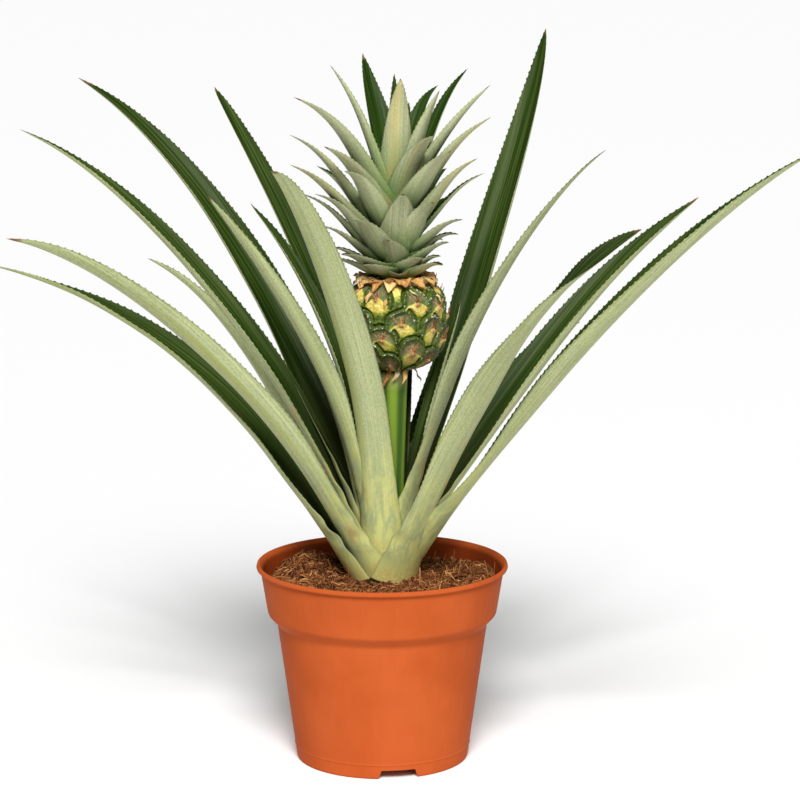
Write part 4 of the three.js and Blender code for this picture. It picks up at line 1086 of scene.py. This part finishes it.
def make_bracts():
    """Dry papery bracts: a crumpled ring round the top of the fruit, a few that hang over its
    eyes and a few under its foot, on the stalk."""
    shape = Shape()
    pick = np.random.default_rng(31)

    def bract(angle, root_radius, root, reach, tip, bulge, width):
        blade(shape, arch(root_radius, root, reach, tip, -bulge, bulge), angle, width, root_radius,
              14, 1.6, 0, [pick.uniform(0, 1), 0, 0], sway=pick.normal(0, 2.0), crumple=0.8,
              **BRACT_BLADE)

    for k in range(30):
        angle = 12 * k + pick.uniform(-7, 7)
        lift = pick.uniform(-1.8, 1.8)
        if k % 5 in (0, 2, 3):
            bract(angle, 13, FRUIT_TOP - 0.5, 20.5 + 0.5 * lift, FRUIT_TOP - 3.8 + lift, 2.4,
                  pick.uniform(6, 13))
        else:
            bract(angle, 15, FRUIT_TOP - 2.5, 20.5 + lift, FRUIT_TOP + 1.5 + 1.5 * lift, 1.5,
                  pick.uniform(4, 9))
    for angle, root, tip, width in HANGING_BRACTS:
        at = [float(fruit_profile(fruit_part(z))) for z in (root, tip)]
        bract(angle, at[0] - 1.5, root, at[1] + 1.6, tip, 1.2, width)
    for angle, reach, tip in FOOT_BRACTS:
        bract(angle + pick.uniform(-12, 12), 8.6, FRUIT_FOOT + 1.5, reach, tip, 1.2, 2.6)
    shape.piece("dry_bracts", bract_finish(), "fruit_rind", (), PLANT)


def make_tips():
    """Wiry dead flower tips: three thin strands from each eye's beak that lean out and up."""
    pick = np.random.default_rng(53)
    eyes = np.arange(-1, 34).repeat(3)
    angle, z = eye_places(eyes)
    angle, z = angle + pick.normal(0, 0.03, len(eyes)), z + pick.normal(0, 0.5, len(eyes))
    keep = z < FRUIT_TOP - 3
    angle, z = angle[keep], z[keep]
    body = fruit_profile(fruit_part(z))
    steps, sides = 6, 4
    out = polar(1, angle, 0)[:, None]
    aside = polar(1, angle + np.pi / 2, 0)[:, None]
    size = pick.uniform(2.5, 6.5, len(z))[:, None, None]
    s = np.linspace(0, 1, steps)[None, :, None]
    lean = pick.normal(0, 0.35, len(z))[:, None, None]
    path = (polar(body, angle, z)[:, None] + out * size * (0.75 * s - 0.3 * s ** 2)
            + UP * (size * s ** 1.6 * 0.9) + aside * (size * lean) * s ** 2)
    radii = 0.32 * (1 - 0.6 * s[..., 0]) * np.ones((len(z), 1))
    points, quads, tris = tubes(path, radii, sides)
    tone = np.repeat(pick.uniform(0.45, 0.95, len(z)), steps * sides)
    shape = Shape()
    shape.add(points, quads, tris, hue=tone[:, None])
    shape.piece("flower_tips", fibre_finish("flower tip"), "fruit_rind", (), PLANT)


make_pot()
make_soil()
make_fibres()
make_stem()
make_stalk()
make_long_leaves()
make_crown()
make_fruit()
make_bracts()
make_tips()


# The studio

def make_studio():
    """A wide pale floor, an even sky, a broad key light from above and a softer one in front,
    and the camera."""
    size = 30.0
    mesh = bpy.data.meshes.new("floor")
    mesh.from_pydata([(-size, -size, 0), (size, -size, 0), (size, size, 0), (-size, size, 0)],
                     [], [(0, 1, 2, 3)])
    paper = Finish("studio paper")
    mesh.materials.append(paper.surface((0.95, 0.95, 0.95, 1), 0.9, 0.1))
    add_object("floor", mesh)

    world = bpy.data.worlds.new("studio")
    world.use_nodes = True
    colour, strength, *_ = world.node_tree.nodes["Background"].inputs
    colour.default_value = (1, 1, 1, 1)
    strength.default_value = 0.1
    bpy.context.scene.world = world

    for name, kind, energy, turn, place in (
            ("key", "SUN", 4.3, (46, 0, 1), (0, 0, 0)),
            ("front", "AREA", 3.0, (72, 0, 18), (0.55, -1.5, 0.75))):
        lamp = bpy.data.lights.new(name, kind)
        lamp.energy = energy
        if kind == "SUN":
            lamp.angle = math.radians(24)
        else:
            lamp.size = 0.9
        item = add_object(name, lamp)
        item.rotation_euler = [math.radians(value) for value in turn]
        item.location = place

    lens = bpy.data.cameras.new("camera")
    lens.sensor_width = 36
    lens.lens = LENS_LENGTH
    lens.clip_end = 100
    camera = add_object("camera", lens)
    camera.location = CAMERA_PLACE
    camera.rotation_euler = (math.radians(90 - CAMERA_PITCH), 0, 0)
    bpy.context.scene.camera = camera
    bpy.context.scene.view_settings.view_transform = "Standard"


make_studio()
